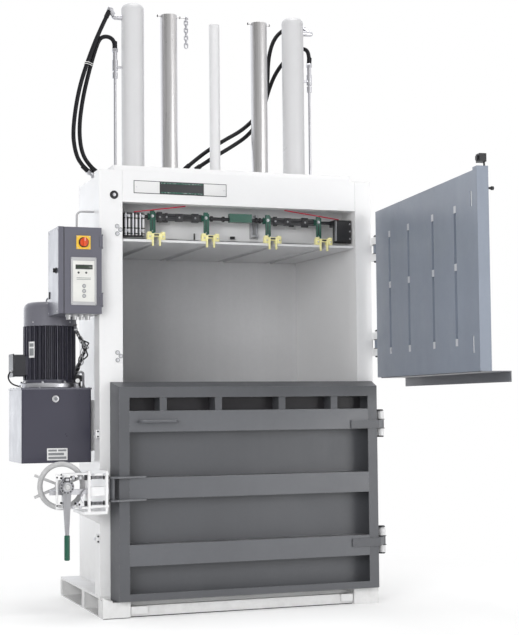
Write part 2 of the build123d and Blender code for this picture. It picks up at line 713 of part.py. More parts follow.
# The ratchet lever hangs from the front of the shaft, with a green grip
lever_y = cheek_front - 6
lever_x = lock_x + 2
with BuildPart() as ratchet_lever:
    bar_y(lock_x, lever_y - 24, lever_y, lock_z, 32)
    with BuildSketch(Plane.XZ.offset(-(lever_y - 6))) as lever_outline:
        with BuildLine():
            Polyline((lock_x - 20, lock_z), (lock_x + 22, lock_z), (lever_x + 8, lock_z - lever_length - 24),
                     (lever_x - 8, lock_z - lever_length - 24), close=True)
        make_face()
    extrude(to_extrude=lever_outline.sketch, amount=12)
    post(lever_x, lever_y - 12, lock_z - lever_length - grip_length - 16, lock_z - lever_length, 7)
    bar_y(lock_x, lever_y - 25, lever_y + 1, lock_z, shaft_radius + running_gap, mode=Mode.SUBTRACT)

with BuildPart() as lever_grip:
    post(lever_x, lever_y - 12, lock_z - lever_length - 24 - grip_length, lock_z - lever_length - 24, 12.5)
    fillet(lever_grip.edges().filter_by(GeomType.CIRCLE), radius=5)
    post(lever_x, lever_y - 12, lock_z - lever_length - grip_length - 16, lock_z - lever_length, 7,
         mode=Mode.SUBTRACT)

# The oil tank, its lid and sight glass
tank_left = tank_right - tank_width
tank_back = tank_front + tank_depth
tank_top = tank_bottom + tank_height
lid_thickness = 8
with BuildPart() as oil_tank:
    bar(tank_left, tank_right, tank_front, tank_back, tank_bottom, tank_top)
    fillet(oil_tank.edges().filter_by(Axis.Z), radius=10)
    bar(tank_left + tank_sheet, tank_right - tank_sheet, tank_front + tank_sheet, tank_back - tank_sheet,
        tank_bottom + tank_sheet, tank_top + 1, mode=Mode.SUBTRACT)

with BuildPart() as tank_lid:
    bar(tank_left - 4, tank_right + 4, tank_front - 4, tank_back + 4, tank_top, tank_top + lid_thickness)
    fillet(tank_lid.edges().filter_by(Axis.Z), radius=12)

with BuildPart() as sight_glass:
    bar_y(tank_left + 158, tank_front - 10, tank_front, tank_bottom + 298, 16)
    fillet(sight_glass.edges().filter_by(GeomType.CIRCLE).group_by(Axis.Y)[0], radius=3)

# Motor: flange ring on the lid, finned housing, terminal box, hollow fan cowl and the fan
motor_x = (tank_left + tank_right) / 2
motor_y = (tank_front + tank_back) / 2
flange_z = tank_top + lid_thickness
motor_bottom = flange_z + motor_flange_thickness
motor_top = motor_bottom + motor_height
cowl_top = motor_top + cowl_height
terminal_low = motor_bottom + 32
terminal_high = terminal_low + 104
stub_radius = 12
with BuildPart() as motor_flange:
    post(motor_x, motor_y, flange_z, motor_bottom, motor_flange_radius)
    fillet(motor_flange.edges().filter_by(GeomType.CIRCLE), radius=4)

fin_count = 28
with BuildPart() as motor_body:
    post(motor_x, motor_y, motor_bottom, motor_top, motor_radius)
    post(motor_x, motor_y, motor_bottom, motor_bottom + 16, motor_radius + motor_fin)
    bar(motor_x - motor_radius - motor_fin - 2, motor_x - motor_radius + 8, motor_y - 44, motor_y + 44,
        terminal_low + 7, terminal_high - 7)
    for number in range(fin_count):
        fin_plane = Plane(origin=(motor_x, motor_y, (motor_bottom + motor_top) / 2)).rotated(
            (0, 0, 360 * number / fin_count + 6))
        with Locations(fin_plane):
            with Locations((motor_radius + motor_fin / 2 - 2, 0, 0)):
                Box(motor_fin + 4, 4, motor_top - motor_bottom)
    post(motor_x, motor_y, motor_top - 40, motor_top + 1, stub_radius + running_gap, mode=Mode.SUBTRACT)

with BuildPart() as terminal_box:
    bar(motor_x - motor_radius - 76, motor_x - motor_radius - motor_fin - 2, motor_y - 52, motor_y + 52,
        terminal_low, terminal_high)
    fillet(terminal_box.edges().filter_by(Axis.X), radius=8)
    bar(motor_x - motor_radius - 82, motor_x - motor_radius - 76, motor_y - 55, motor_y + 55,
        terminal_low - 3, terminal_high + 3)

cowl_wall = 3
with BuildPart() as fan_cowl:
    post(motor_x, motor_y, motor_top, cowl_top, cowl_radius)
    fillet(fan_cowl.edges().filter_by(GeomType.CIRCLE).group_by(Axis.Z)[-1], radius=cowl_shoulder)
    post(motor_x, motor_y, motor_top - 1, cowl_top - cowl_shoulder, cowl_radius - cowl_wall, mode=Mode.SUBTRACT)
    post(motor_x, motor_y, cowl_top - cowl_shoulder - 1, cowl_top - cowl_wall, cowl_radius - cowl_shoulder,
         mode=Mode.SUBTRACT)
    post(motor_x, motor_y, motor_top, motor_top + 4, cowl_radius - 2)
    post(motor_x, motor_y, motor_top - 1, motor_top + 5, stub_radius + 6, mode=Mode.SUBTRACT)
    for number in range(12):
        slot_plane = Plane(origin=(motor_x, motor_y, cowl_top)).rotated((0, 0, 30 * number))
        with Locations(slot_plane):
            with Locations((62, 0, 0)):
                Box(60, 12, 60, mode=Mode.SUBTRACT)

with BuildPart() as cooling_fan:
    post(motor_x, motor_y, motor_top - 38, motor_top + 70, stub_radius)
    post(motor_x, motor_y, motor_top + 20, motor_top + 70, 30)
    post(motor_x, motor_y, motor_top + 20, motor_top + 26, 100)
    for number in range(9):
        blade_plane = Plane(origin=(motor_x, motor_y, motor_top + 48)).rotated((0, 0, 40 * number))
        with Locations(blade_plane):
            with Locations((62, 0, 0)):
                Box(76, 4, 46)

# The control cabinet: hollow box, door, mounting plate, panel, switch, latch and glands
cabinet_right = -half_width - 2
cabinet_left = cabinet_right - cabinet_width
cabinet_back = cabinet_front + cabinet_depth
cabinet_top = cabinet_bottom + cabinet_height
body_front = cabinet_front + cabinet_door_depth
door_left = cabinet_left + cabinet_frame + 1
door_right = cabinet_right - 0.3
door_hinge_x = cabinet_right + 1
door_hinge_y = cabinet_front - 2
barrel_places = [cabinet_bottom + 40, cabinet_top - 90]
with BuildPart() as cabinet_box:
    bar(cabinet_left, cabinet_right, body_front, cabinet_back, cabinet_bottom, cabinet_top)
    bar(cabinet_left, cabinet_left + cabinet_frame, cabinet_front, body_front, cabinet_bottom, cabinet_top)
    bar(cabinet_left + cabinet_sheet, cabinet_right - cabinet_sheet, body_front + cabinet_sheet,
        cabinet_back - cabinet_sheet, cabinet_bottom + cabinet_sheet, cabinet_top - cabinet_sheet,
        mode=Mode.SUBTRACT)
    bar(cabinet_left + cabinet_frame + 8, cabinet_right - 12, body_front - 1, body_front + cabinet_sheet + 1,
        cabinet_bottom + 12, cabinet_top - 12, mode=Mode.SUBTRACT)
    for z in barrel_places:
        for z0 in (z - barrel_lug, z + barrel_length + 0.5):
            bar(cabinet_right, cabinet_right + 5, door_hinge_y - 2, body_front + 12, z0, z0 + barrel_lug - 0.5)
        post(door_hinge_x, door_hinge_y, z - barrel_lug, z + barrel_length + barrel_lug, barrel_pin)

with BuildPart() as cabinet_door:
    bar(door_left, door_right, cabinet_front, body_front - 0.5, cabinet_bottom + 1, cabinet_top - 1)
    fillet(cabinet_door.edges().filter_by(Axis.Z).group_by(Axis.Y)[0], radius=2)
    bar(door_left + 3, door_right - 3, cabinet_front + 3, body_front, cabinet_bottom + 4, cabinet_top - 4,
        mode=Mode.SUBTRACT)
    for z in barrel_places:
        post(door_hinge_x, door_hinge_y, z, z + barrel_length, barrel_radius)
        bar(door_hinge_x - 12, door_hinge_x, door_hinge_y - 1, cabinet_front, z, z + barrel_length)
        post(door_hinge_x, door_hinge_y, z - 1, z + barrel_length + 1, barrel_pin + 0.05, mode=Mode.SUBTRACT)

with BuildPart() as mounting_plate:
    bar(cabinet_left + 14, cabinet_right - 14, cabinet_back - cabinet_sheet - 4, cabinet_back - cabinet_sheet,
        cabinet_bottom + 20, cabinet_top - 20)
    for z in (cabinet_bottom + 110, cabinet_bottom + 270):
        bar(cabinet_left + 20, cabinet_right - 20, cabinet_back - cabinet_sheet - 12,
            cabinet_back - cabinet_sheet - 4, z - 17, z + 17)
        for number in range(3):
            x0 = cabinet_left + 26 + number * 52
            bar(x0, x0 + 46, cabinet_back - cabinet_sheet - 72, cabinet_back - cabinet_sheet - 12, z - 42, z + 42)

with BuildPart() as control_panel:
    bar(cabinet_left + 58, cabinet_right - 27, cabinet_front - 6, cabinet_front, cabinet_bottom + 39,
        cabinet_bottom + 259)
    fillet(control_panel.edges().filter_by(Axis.Y), radius=4)
    bar(cabinet_left + 66, cabinet_right - 35, cabinet_front - 7, cabinet_front - 4, cabinet_bottom + 53,
        cabinet_bottom + 245, mode=Mode.SUBTRACT)

switch_x = cabinet_left + 117
switch_z = cabinet_bottom + 328
with BuildPart() as switch_plate:
    bar(switch_x - 33, switch_x + 33, cabinet_front - 4, cabinet_front, switch_z - 31, switch_z + 31)
    bar_y(switch_x, cabinet_front - 9, cabinet_front - 4, switch_z, 22)

with BuildPart() as switch_knob:
    bar_y(switch_x, cabinet_front - 20, cabinet_front - 9, switch_z, 19)
    bar(switch_x - 6, switch_x + 6, cabinet_front - 36, cabinet_front - 20, switch_z - 20, switch_z + 20)

latch_y = cabinet_front + 43
latch_z = cabinet_bottom + 200
with BuildPart() as cabinet_latch:
    bar_x(cabinet_left - 6, cabinet_left, latch_y, latch_z, 11)
    bar(cabinet_left - 16, cabinet_left - 6, latch_y - 3, latch_y + 3, latch_z - 10, latch_z + 10)

gland_x = cabinet_left + 71
gland_y = cabinet_front + 110
control_end = (tank_right - 23, tank_front + 264, flange_z + 26)
motor_end = (tank_left + 6, tank_front + 99, flange_z + 9)
motor_start = (tank_left - 27, tank_front + 139, flange_z + 78)
with BuildPart() as cable_glands:
    for number in range(4):
        post(gland_x + number * 30, gland_y, cabinet_bottom - 22, cabinet_bottom, 11)
        post(gland_x + number * 30, gland_y, cabinet_bottom - 8, cabinet_bottom, 15)
    post(control_end[0], control_end[1], flange_z, control_end[2], 10)
    post(motor_end[0] + 7, motor_end[1], flange_z, motor_end[2] + 7, 7)
    bar_x(motor_start[0], motor_x - motor_radius - 82, motor_start[1], motor_start[2], 6)

filler_x = tank_right - 56
filler_y = tank_front + 40
with BuildPart() as filler_cap:
    post(filler_x, filler_y, flange_z, flange_z + 30, 14)
    post(filler_x, filler_y, flange_z + 30, flange_z + 60, 20)
    fillet(filler_cap.edges().filter_by(GeomType.CIRCLE).group_by(Axis.Z)[-1], radius=5)

# The strap shaft under the header: two dark guide blocks, the shaft and four green levers
strap_shaft_z = opening_top - 52
strap_shaft_y = front_y + 100
strap_shaft_radius = 8
block_top = strap_shaft_z + 11
block_inner_left = open_left + 121
block_inner_right = open_right - 91
with BuildPart() as shaft_bearings:
    for x0, x1, arm in ((open_left + 19, block_inner_left, open_left), (block_inner_right, open_right - 2, open_right)):
        bar(x0, x1, strap_shaft_y - 50, strap_shaft_y - 25, strap_shaft_z - 104, block_top)
        bar(min(x0, arm), max(x1, arm), strap_shaft_y - 40, strap_shaft_y - 25, strap_shaft_z - 88, strap_shaft_z + 2)
    for x0, x1 in ((block_inner_left - 16, block_inner_left), (block_inner_right, block_inner_right + 16)):
        bar(x0, x1, strap_shaft_y - 25, strap_shaft_y + 18, strap_shaft_z - 20, strap_shaft_z + 11)
        bar_x(x0 - 1, x1 + 1, strap_shaft_y, strap_shaft_z, strap_shaft_radius + running_gap, mode=Mode.SUBTRACT)

flat_depth = 10
flat_height = 34
with BuildPart() as lever_shaft:
    bar_x(block_inner_left - 15, block_inner_right + 15, strap_shaft_y, strap_shaft_z, strap_shaft_radius)
    for x0, x1 in ((strap_places[0] + 16, strap_places[1] - 16), (strap_places[2] + 16, strap_places[3] - 16)):
        bar(x0, x1, strap_shaft_y - flat_depth / 2, strap_shaft_y + flat_depth / 2,
            strap_shaft_z - flat_height / 2, strap_shaft_z + flat_height / 2)

with BuildPart() as strap_levers:
    for x in strap_places:
        bar_x(x - 14, x + 14, strap_shaft_y, strap_shaft_z, 15)
        bar(x - 10, x + 10, strap_shaft_y - 23, strap_shaft_y - 13, strap_shaft_z - 85,
            strap_shaft_z + 27)
        bar_x(x - 15, x + 15, strap_shaft_y, strap_shaft_z, strap_shaft_radius, mode=Mode.SUBTRACT)
    bar(-25, 90, strap_shaft_y - 14, strap_shaft_y + 14, strap_shaft_z - 14, strap_shaft_z + 28)
    bar_x(-26, 91, strap_shaft_y, strap_shaft_z, strap_shaft_radius, mode=Mode.SUBTRACT)

# Yellow strap clips on the front edge of the press plate
with BuildPart() as strap_clips:
    for x in strap_places:
        bar(x - 44, x + 44, platen_front - 6, platen_front + 16, platen_z + platen_sheet, platen_z + 41)
        bar(x - 22, x + 22, platen_front - 7, platen_front, platen_z - 18, platen_z + 41)
        bar(x - strap_channel / 2, x + strap_channel / 2, platen_front - 8, platen_front + 17, platen_z - 19,
            platen_z + platen_sheet + channel_cover - channel_wall, mode=Mode.SUBTRACT)

# Hydraulic hoses: each follows straight runs joined by arcs that touch them
hose_radius = 10.5
cable_radius = 6
thin_cable_radius = 3.5
pipe_radius = 7
union_radius = 14
pipe_top = crown_z + 634
port_z = crown_z + 805
left_pipe_x = cylinder_places[0] - 92
right_pipe_x = cylinder_places[1] + 92
left_port = (cylinder_places[0] - 95, press_axis_y, port_z)
right_port = (cylinder_places[1] + 102, press_axis_y + 2, port_z)


def over_crown(points):
    """Places on a hose, given by their depth behind the press axis and their height over the crown."""
    return [(x, press_axis_y + y, crown_z + z) for x, y, z in points]


left_outer_route = over_crown([
    (-541, 0, 842), (-590, 3, 740), (-648, 10, 592), (-700, 22, 420), (-723, 46, 225), (-706, 69, 126),
    (-674, 88, 66), (-628, 97, 28),
])
left_inner_route = over_crown([
    (left_pipe_x, 0, pipe_top - crown_z), (-517, 2, 676), (-535, 7, 700), (-564, 14, 707), (-591, 21, 694),
    (-611, 29, 637), (-639, 36, 536), (-672, 46, 389), (-688, 60, 240), (-672, 74, 120), (-625, 86, 55),
    (-582, 94, 24),
])
right_outer_route = over_crown([
    (-142, 72, 53), (-58, 72, 130), (68, 72, 216), (200, 71, 292), (300, 70, 404), (328, 70, 535),
    (334, 76, 676), (368, 82, 785), (432, 86, 846), (488, 72, 858), (517, 34, 838),
])
right_inner_route = over_crown([
    (-91, 54, 53), (-8, 57, 113), (108, 66, 182), (226, 82, 262), (306, 98, 372), (338, 105, 492),
    (384, 103, 608), (452, 92, 696), (505, 74, 742), (540, 36, 732), (543, 12, 680),
    (right_pipe_x, 0, pipe_top - crown_z),
])
control_route = [(gland_x + 30, gland_y, cabinet_bottom - 22)]
for x, y, z in ((-97, 1, -62), (-76, 15, -100), (-44, 55, -126), (-20, 120, -144), (-14, 190, -174), (-16, 255, -216),
                (-21, 305, -246), (-23, 337, -280)):
    control_route.append((tank_right + x, gland_y + y, cabinet_bottom + z))
control_route.append(control_end)
motor_route = [motor_start]
for x, y, z in ((-14, -4, -13), (-12, -18, -41), (7, -30, -63)):
    motor_route.append((motor_start[0] + x, motor_start[1] + y, motor_start[2] + z))
motor_route.append(motor_end)


def tube_along(route, radius):
    """A round cord along a route, in the part that is being built; each arc is as large as its two runs allow."""
    points = [Vector(*point) for point in route]
    bends = []
    for before, corner, after in zip(points, points[1:], points[2:]):
        turn = radians((corner - before).get_angle(after - corner))
        bends.append(0.45 * min((corner - before).length, (after - corner).length) / tan(turn / 2))
    with BuildLine() as line:
        FilletPolyline(*points, radius=bends)
    with BuildSketch(Plane(origin=points[0], z_dir=points[1] - points[0])) as section:
        Circle(radius)
    sweep(sections=section.sketch, path=line.wires()[0])
    print("bend radii", [round(bend) for bend in bends], "length", round(line.wires()[0].length),
          "section times length", round(pi * radius ** 2 * line.wires()[0].length))


with BuildPart() as left_outer_hose:
    tube_along(left_outer_route, hose_radius)

with BuildPart() as left_inner_hose:
    tube_along(left_inner_route, hose_radius)

with BuildPart() as right_outer_hose:
    tube_along(right_outer_route, hose_radius)

with BuildPart() as right_inner_hose:
    tube_along(right_inner_route, hose_radius)

with BuildPart() as control_cable:
    tube_along(control_route, cable_radius)

with BuildPart() as motor_cable:
    tube_along(motor_route, thin_cable_radius)

for name, tube in (("left outer", left_outer_hose), ("left inner", left_inner_hose), ("right outer", right_outer_hose),
                   ("right inner", right_inner_hose), ("control", control_cable), ("motor", motor_cable)):
    print(name, "volume", round(tube.part.volume))


def straight(start, end, radius):
    """A round bar from one point to another, in the part that is being built."""
    line = Vector(*end) - Vector(*start)
    with BuildSketch(Plane(origin=start, z_dir=line)) as bar_section:
        Circle(radius)
    extrude(to_extrude=bar_section.sketch, amount=line.length)


# Fittings: an elbow at each top port, a pipe to each lower port, and unions where the hoses reach the crown
lower_port_z = crown_z + cylinder_flange + 24
with BuildPart() as hose_fittings:
    for place, side, pipe_x, port, hose_end in (
            (cylinder_places[0], -1, left_pipe_x, left_port, left_outer_route[0]),
            (cylinder_places[1], 1, right_pipe_x, right_port, right_outer_route[-1])):
        face = place + side * cylinder_radius
        straight((face, port[1], port[2]), port, union_radius)
        with Locations(port):
            Sphere(union_radius)
        straight(port, hose_end, union_radius - 1.5)
        straight((face, press_axis_y, lower_port_z), (pipe_x, press_axis_y, lower_port_z), pipe_radius + 3)
        post(pipe_x, press_axis_y, lower_port_z - 10, pipe_top, pipe_radius)
        post(pipe_x, press_axis_y, pipe_top - 50, pipe_top, union_radius - 3)
        post(pipe_x, press_axis_y, pipe_top - 104, pipe_top - 50, union_radius)
        post(pipe_x, press_axis_y, pipe_top - 142, pipe_top - 112, union_radius - 1)
        bar(min(face, pipe_x), max(face, pipe_x), press_axis_y - 10, press_axis_y + 10, pipe_top - 90, pipe_top - 80)
    for hose_end, foot in ((left_outer_route[-1], (-603, press_axis_y + 101)), (left_inner_route[-1], (-567, press_axis_y + 98)),
                           (right_outer_route[0], (-172, press_axis_y + 72)), (right_inner_route[0], (-120, press_axis_y + 53))):
        drop = hose_end[2] - 15
        straight(hose_end, (foot[0], foot[1], drop), union_radius - 1.5)
        post(foot[0], foot[1], crown_z, drop + 6, union_radius)


# Red pull cords, stretched from the guide blocks to the underside of the header
cord_radius = 2.5
cord_drop = cord_radius * 0.99
cord_y = strap_shaft_y - 45
with BuildPart() as pull_cords:
    straight((-517, cord_y, block_top + cord_drop), (-262, cord_y, opening_top - cord_drop), cord_radius)
    straight((250, cord_y, opening_top - cord_drop), (540, cord_y, block_top + cord_drop), cord_radius)

pieces = {
    "base_frame": base_frame,
    "chamber_floor": chamber_floor,
    "left_pillar": left_pillar,
    "right_pillar": right_pillar,
    "left_wall": left_wall,
    "right_wall": right_wall,
    "back_wall": back_wall,
    "header": header,
    "cylinders": cylinders,
    "press_plate": press_plate,
    "piston_rods": piston_rods,
    "guide_tubes": guide_tubes,
    "sensor_tube": sensor_tube,
    "sensor_rod": sensor_rod,
    "lifting_chain": lifting_chain,
    "upper_door": upper_door,
    "door_strap_clips": door_strap_clips,
    "door_apron": door_apron,
    "door_actuator": door_actuator,
    "upper_handle": upper_handle,
    "hinge_lugs": hinge_lugs,
    "lower_door": lower_door,
    "lower_rails": lower_rails,
    "grab_handle": grab_handle,
    "lock_keeper": lock_keeper,
    "lock_bolt": lock_bolt,
    "handwheel": handwheel,
    "lock_frame": lock_frame,
    "lock_studs": lock_studs,
    "ratchet_lever": ratchet_lever,
    "lever_grip": lever_grip,
    "oil_tank": oil_tank,
    "tank_lid": tank_lid,
    "sight_glass": sight_glass,
    "motor_flange": motor_flange,
    "motor_body": motor_body,
    "terminal_box": terminal_box,
    "fan_cowl": fan_cowl,
    "cooling_fan": cooling_fan,
    "cabinet_box": cabinet_box,
    "cabinet_door": cabinet_door,
    "mounting_plate": mounting_plate,
    "control_panel": control_panel,
    "switch_plate": switch_plate,
    "switch_knob": switch_knob,
    "cabinet_latch": cabinet_latch,
    "cable_glands": cable_glands,
    "filler_cap": filler_cap,
    "shaft_bearings": shaft_bearings,
    "lever_shaft": lever_shaft,
    "strap_levers": strap_levers,
    "strap_clips": strap_clips,
    "hose_fittings": hose_fittings,
    "left_outer_hose": left_outer_hose,
    "left_inner_hose": left_inner_hose,
    "right_outer_hose": right_outer_hose,
    "right_inner_hose": right_inner_hose,
    "control_cable": control_cable,
    "motor_cable": motor_cable,
    "pull_cords": pull_cords,
}
for name, piece in pieces.items():
    piece.part.label = name
    export_step(piece.part, f"parts/{name}.step")
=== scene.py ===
import math
import random

import bmesh
import bpy
from mathutils import Matrix, Vector


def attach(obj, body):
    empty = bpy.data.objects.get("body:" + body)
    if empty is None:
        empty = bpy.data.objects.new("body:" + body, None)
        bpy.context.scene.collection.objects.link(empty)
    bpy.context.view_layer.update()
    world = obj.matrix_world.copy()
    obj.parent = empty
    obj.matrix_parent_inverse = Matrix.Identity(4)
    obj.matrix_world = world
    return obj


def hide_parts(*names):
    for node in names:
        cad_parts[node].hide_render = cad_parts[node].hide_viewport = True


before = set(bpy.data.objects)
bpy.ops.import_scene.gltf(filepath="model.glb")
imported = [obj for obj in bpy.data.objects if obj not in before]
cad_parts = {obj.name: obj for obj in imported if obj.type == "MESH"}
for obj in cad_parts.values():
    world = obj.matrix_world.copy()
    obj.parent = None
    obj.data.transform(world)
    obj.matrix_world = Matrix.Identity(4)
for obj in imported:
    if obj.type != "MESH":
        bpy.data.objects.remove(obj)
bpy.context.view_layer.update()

random.seed(7)
scene = bpy.context.scene
MM = 0.001  # sizes below are in millimetres, the scene is in metres


def edge(name, axis, pick):
    """Where a node of the solid model ends along an axis; pick is min or max."""
    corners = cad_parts[name].bound_box
    return round(pick(corner["xyz".index(axis)] for corner in corners) / MM, 1)


def middle(name, axis):
    return (edge(name, axis, min) + edge(name, axis, max)) / 2


# Places on the solid model
FRONT = edge("header", "y", min)
BASE_TOP = edge("base_frame", "z", max)
CROWN = edge("sensor_tube", "z", min)
CENTRE = middle("header", "x")
AXIS = middle("guide_tubes", "y")  # cylinders, guide tubes and sensor stand in one row
CYLINDERS = (CENTRE - 434, CENTRE + 434)
TUBES = (CENTRE - 244, CENTRE + 244)
SLOTS = (CENTRE - 430, CENTRE - 160, CENTRE + 160, CENTRE + 430)  # channels for the straps
HINGE_X, HINGE_Y = 711, -426
HINGES = (301, 872, 1266, 1738)  # heights of the hinge lugs
SHAFT_Y, SHAFT_Z = middle("lever_shaft", "y"), middle("lever_shaft", "z")
BEARING_FRONT = edge("shaft_bearings", "y", min)
LEVER_FRONT = edge("strap_levers", "y", min)
CLIP_FRONT = edge("strap_clips", "y", min)
PLATE_UNDER = edge("press_plate", "z", min)
PANEL = edge("cabinet_door", "y", min)
CABINET_LEFT, CABINET_TOP = edge("cabinet_box", "x", min), edge("cabinet_box", "z", max)
SWITCH_X, SWITCH_Z = middle("switch_knob", "x"), middle("switch_knob", "z")
MOTOR_X, MOTOR_Y = middle("cooling_fan", "x"), middle("cooling_fan", "y")
FLANGE_TOP, COWL_TOP = edge("motor_flange", "z", max), edge("fan_cowl", "z", max)
BOX_LEFT = edge("terminal_box", "x", min)
LID = edge("tank_lid", "z", max)
TANK_FRONT = edge("oil_tank", "y", min)
GLASS_X, GLASS_Z = middle("sight_glass", "x"), middle("sight_glass", "z")
GLASS_FRONT = edge("sight_glass", "y", min)
WHEEL_X, WHEEL_Z = middle("ratchet_lever", "x"), middle("handwheel", "z")
RATCHET_FRONT = edge("ratchet_lever", "y", min)
LOCK_FRONT = edge("lock_frame", "y", min) + 2
STUD_Y = middle("lock_studs", "y")

LEFT, RIGHT, AHEAD, UP = (-1, 0, 0), (1, 0, 0), (0, -1, 0), (0, 0, 1)


# Camera: metres and degrees
def place_camera(position, yaw, pitch, roll, lens):
    yaw, pitch, roll = (math.radians(angle) for angle in (yaw, pitch, roll))
    forward = Vector((math.sin(yaw) * math.cos(pitch), math.cos(yaw) * math.cos(pitch), math.sin(pitch)))
    right = Vector((math.cos(yaw), -math.sin(yaw), 0))
    up = right.cross(forward)
    tilted_right = right * math.cos(roll) + up * math.sin(roll)
    tilted_up = up * math.cos(roll) - right * math.sin(roll)
    data = bpy.data.cameras.new("camera")
    data.sensor_width = 36
    data.lens = lens
    data.clip_end = 100
    camera = bpy.data.objects.new("camera", data)
    turn = Matrix((tilted_right, tilted_up, -forward)).transposed().to_4x4()
    camera.matrix_world = Matrix.Translation(position) @ turn
    scene.collection.objects.link(camera)
    scene.camera = camera


place_camera((-2.2633, -6.8154, 0.9743), yaw=20.154, pitch=3.4995, roll=-0.5377, lens=80.215)
scene.view_settings.view_transform = "Standard"


# Shader nodes
class Nodes:
    """A short way to add and join the nodes of a material or a world."""

    def __init__(self, owner):
        owner.use_nodes = True
        self.owner = owner
        self.tree = owner.node_tree
        self.tree.nodes.clear()
        self.where = self.add("TexCoord").outputs

    def add(self, kind, values=None, **settings):
        node = self.tree.nodes.new("ShaderNode" + kind)
        for key, value in settings.items():
            setattr(node, key, value)
        for key, value in (values or {}).items():
            self.feed(node.inputs[key], value)
        return node

    def feed(self, socket, value):
        """Joins a socket to the output of another node, or sets its value."""
        if hasattr(value, "is_output"):
            self.tree.links.new(value, socket)
        else:
            socket.default_value = value

    def show(self, shader, output="OutputMaterial"):
        self.tree.links.new(shader.outputs[0], self.add(output).inputs["Surface"])

    def noise(self, scale, detail=3.0, stretch=None, rough=0.55):
        place = self.where["Object"]
        if stretch:
            place = self.add("Mapping", {"Vector": place, "Scale": stretch}).outputs["Vector"]
        values = {"Vector": place, "Scale": scale, "Detail": detail, "Roughness": rough}
        return self.add("TexNoise", values).outputs["Fac"]

    def span(self, value, low, high, to_low=0.0, to_high=1.0):
        values = {"Value": value, "From Min": low, "From Max": high, "To Min": to_low, "To Max": to_high}
        return self.add("MapRange", values).outputs["Result"]

    def math(self, operation, a, b):
        return self.add("Math", {0: a, 1: b}, operation=operation).outputs[0]

    def times(self, a, b):
        return self.math("MULTIPLY", a, b)

    def mix(self, factor, a, b):
        node = self.add("Mix", {"Factor": factor}, data_type="RGBA")
        for key, color in ((6, a), (7, b)):
            self.feed(node.inputs[key], color if hasattr(color, "is_output") else (*color, 1))
        return node.outputs[2]

    def vary(self, noise, color, dark, light):
        return self.mix(self.span(noise, 0.3, 0.7), shade(color, dark), shade(color, light))

    def finish(self, color, roughness, height=None, depth=0.0005, strength=0.4, round_edge=0.0, **fixed):
        values = {"Base Color": color, "Roughness": roughness, **fixed}
        if round_edge:
            values["Normal"] = self.add("Bevel", {"Radius": round_edge}, samples=4).outputs["Normal"]
        if height is not None:
            relief = {"Height": height, "Distance": depth, "Strength": strength}
            if "Normal" in values:
                relief["Normal"] = values["Normal"]
            values["Normal"] = self.add("Bump", relief).outputs["Normal"]
        self.show(self.add("BsdfPrincipled", values))
        return self.owner


def material(name):
    return Nodes(bpy.data.materials.new(name))


def shade(color, factor):
    return tuple(min(1.0, channel * factor) for channel in color)


# Kinds of finish
def paint(name, color, rough=0.38, wear=0.0, wear_color=(0.45, 0.45, 0.46), dust=0.0, grime=0.0, waves=0.3,
          edge=0.0015, coat=0.15, mottle=0.06, streaks=0.0):
    """Powder coat or enamel on sheet: patches of tone, orange peel, gentle waves, worn edges and dust."""
    nodes = material(name)
    patches = nodes.noise(2.3, 4)
    fine = nodes.noise(60, 3)
    peel = nodes.noise(1100, 2)
    tone = nodes.vary(patches, color, 1 - mottle, 1 + mottle)
    tone = nodes.mix(nodes.span(fine, 0.35, 0.75, 0, 0.25), tone, shade(color, 1 - 2 * mottle))
    rough_map = nodes.span(nodes.noise(9, 4), 0.25, 0.75, rough - 0.06, rough + 0.08)
    if streaks:
        runs = nodes.noise(14, 3, stretch=(1, 1, 0.05))
        tone = nodes.mix(nodes.span(runs, 0.45, 0.8, 0, streaks), tone, shade(color, 1.35))
    if grime:
        low = nodes.add("SeparateXYZ", {0: nodes.where["Object"]}).outputs[2]
        near_floor = nodes.span(low, 0.0, 0.30, 1.0, 0.0)
        spots = nodes.span(nodes.noise(12, 6, rough=0.7), 0.42, 0.7)
        tone = nodes.mix(nodes.times(nodes.times(near_floor, spots), grime), tone, (0.32, 0.31, 0.29))
    if dust:
        facing = nodes.add("SeparateXYZ", {0: nodes.add("NewGeometry").outputs["Normal"]}).outputs[2]
        lying = nodes.span(facing, 0.6, 0.95)
        soft = nodes.span(nodes.noise(7, 5), 0.35, 0.7)
        tone = nodes.mix(nodes.times(nodes.times(lying, soft), dust), tone, (0.62, 0.61, 0.6))
    if wear:
        flat = nodes.add("NewGeometry").outputs["Normal"]
        rounded = nodes.add("Bevel", {"Radius": 0.004}, samples=4).outputs["Normal"]
        same = nodes.add("VectorMath", {0: flat, 1: rounded}, operation="DOT_PRODUCT").outputs["Value"]
        rim = nodes.span(same, 0.97, 0.8)
        chips = nodes.span(nodes.noise(85, 6, rough=0.75), 0.5, 0.62)
        worn = nodes.times(nodes.times(rim, chips), wear)
        tone = nodes.mix(worn, tone, wear_color)
        rough_map = nodes.math("ADD", rough_map, nodes.times(worn, 0.12))
    swell = nodes.span(nodes.noise(3.2, 2), 0, 1, 0, waves)
    height = nodes.math("ADD", nodes.span(peel, 0, 1, 0, 0.06), swell)
    return nodes.finish(tone, rough_map, height, 0.003, 0.35, edge,
                        **{"Coat Weight": coat, "Coat Roughness": 0.25})


def steel(name, color, rough=0.3, grain=(1, 1, 0.02), grain_scale=160, stain=0.1):
    """Bare or plated metal with drawn lines along one direction and faint stains."""
    nodes = material(name)
    lines = nodes.noise(grain_scale, 5, stretch=grain, rough=0.7)
    stains = nodes.noise(7, 5)
    tone = nodes.vary(lines, color, 0.86, 1.1)
    tone = nodes.mix(nodes.span(stains, 0.45, 0.8, 0, stain * 2), tone, shade(color, 0.6))
    rough_map = nodes.math("ADD", nodes.span(lines, 0.3, 0.7, rough - 0.06, rough + 0.08),
                           nodes.span(stains, 0.4, 0.8, 0, stain))
    return nodes.finish(tone, rough_map, lines, 0.0004, 0.15, 0.0008, Metallic=1.0)


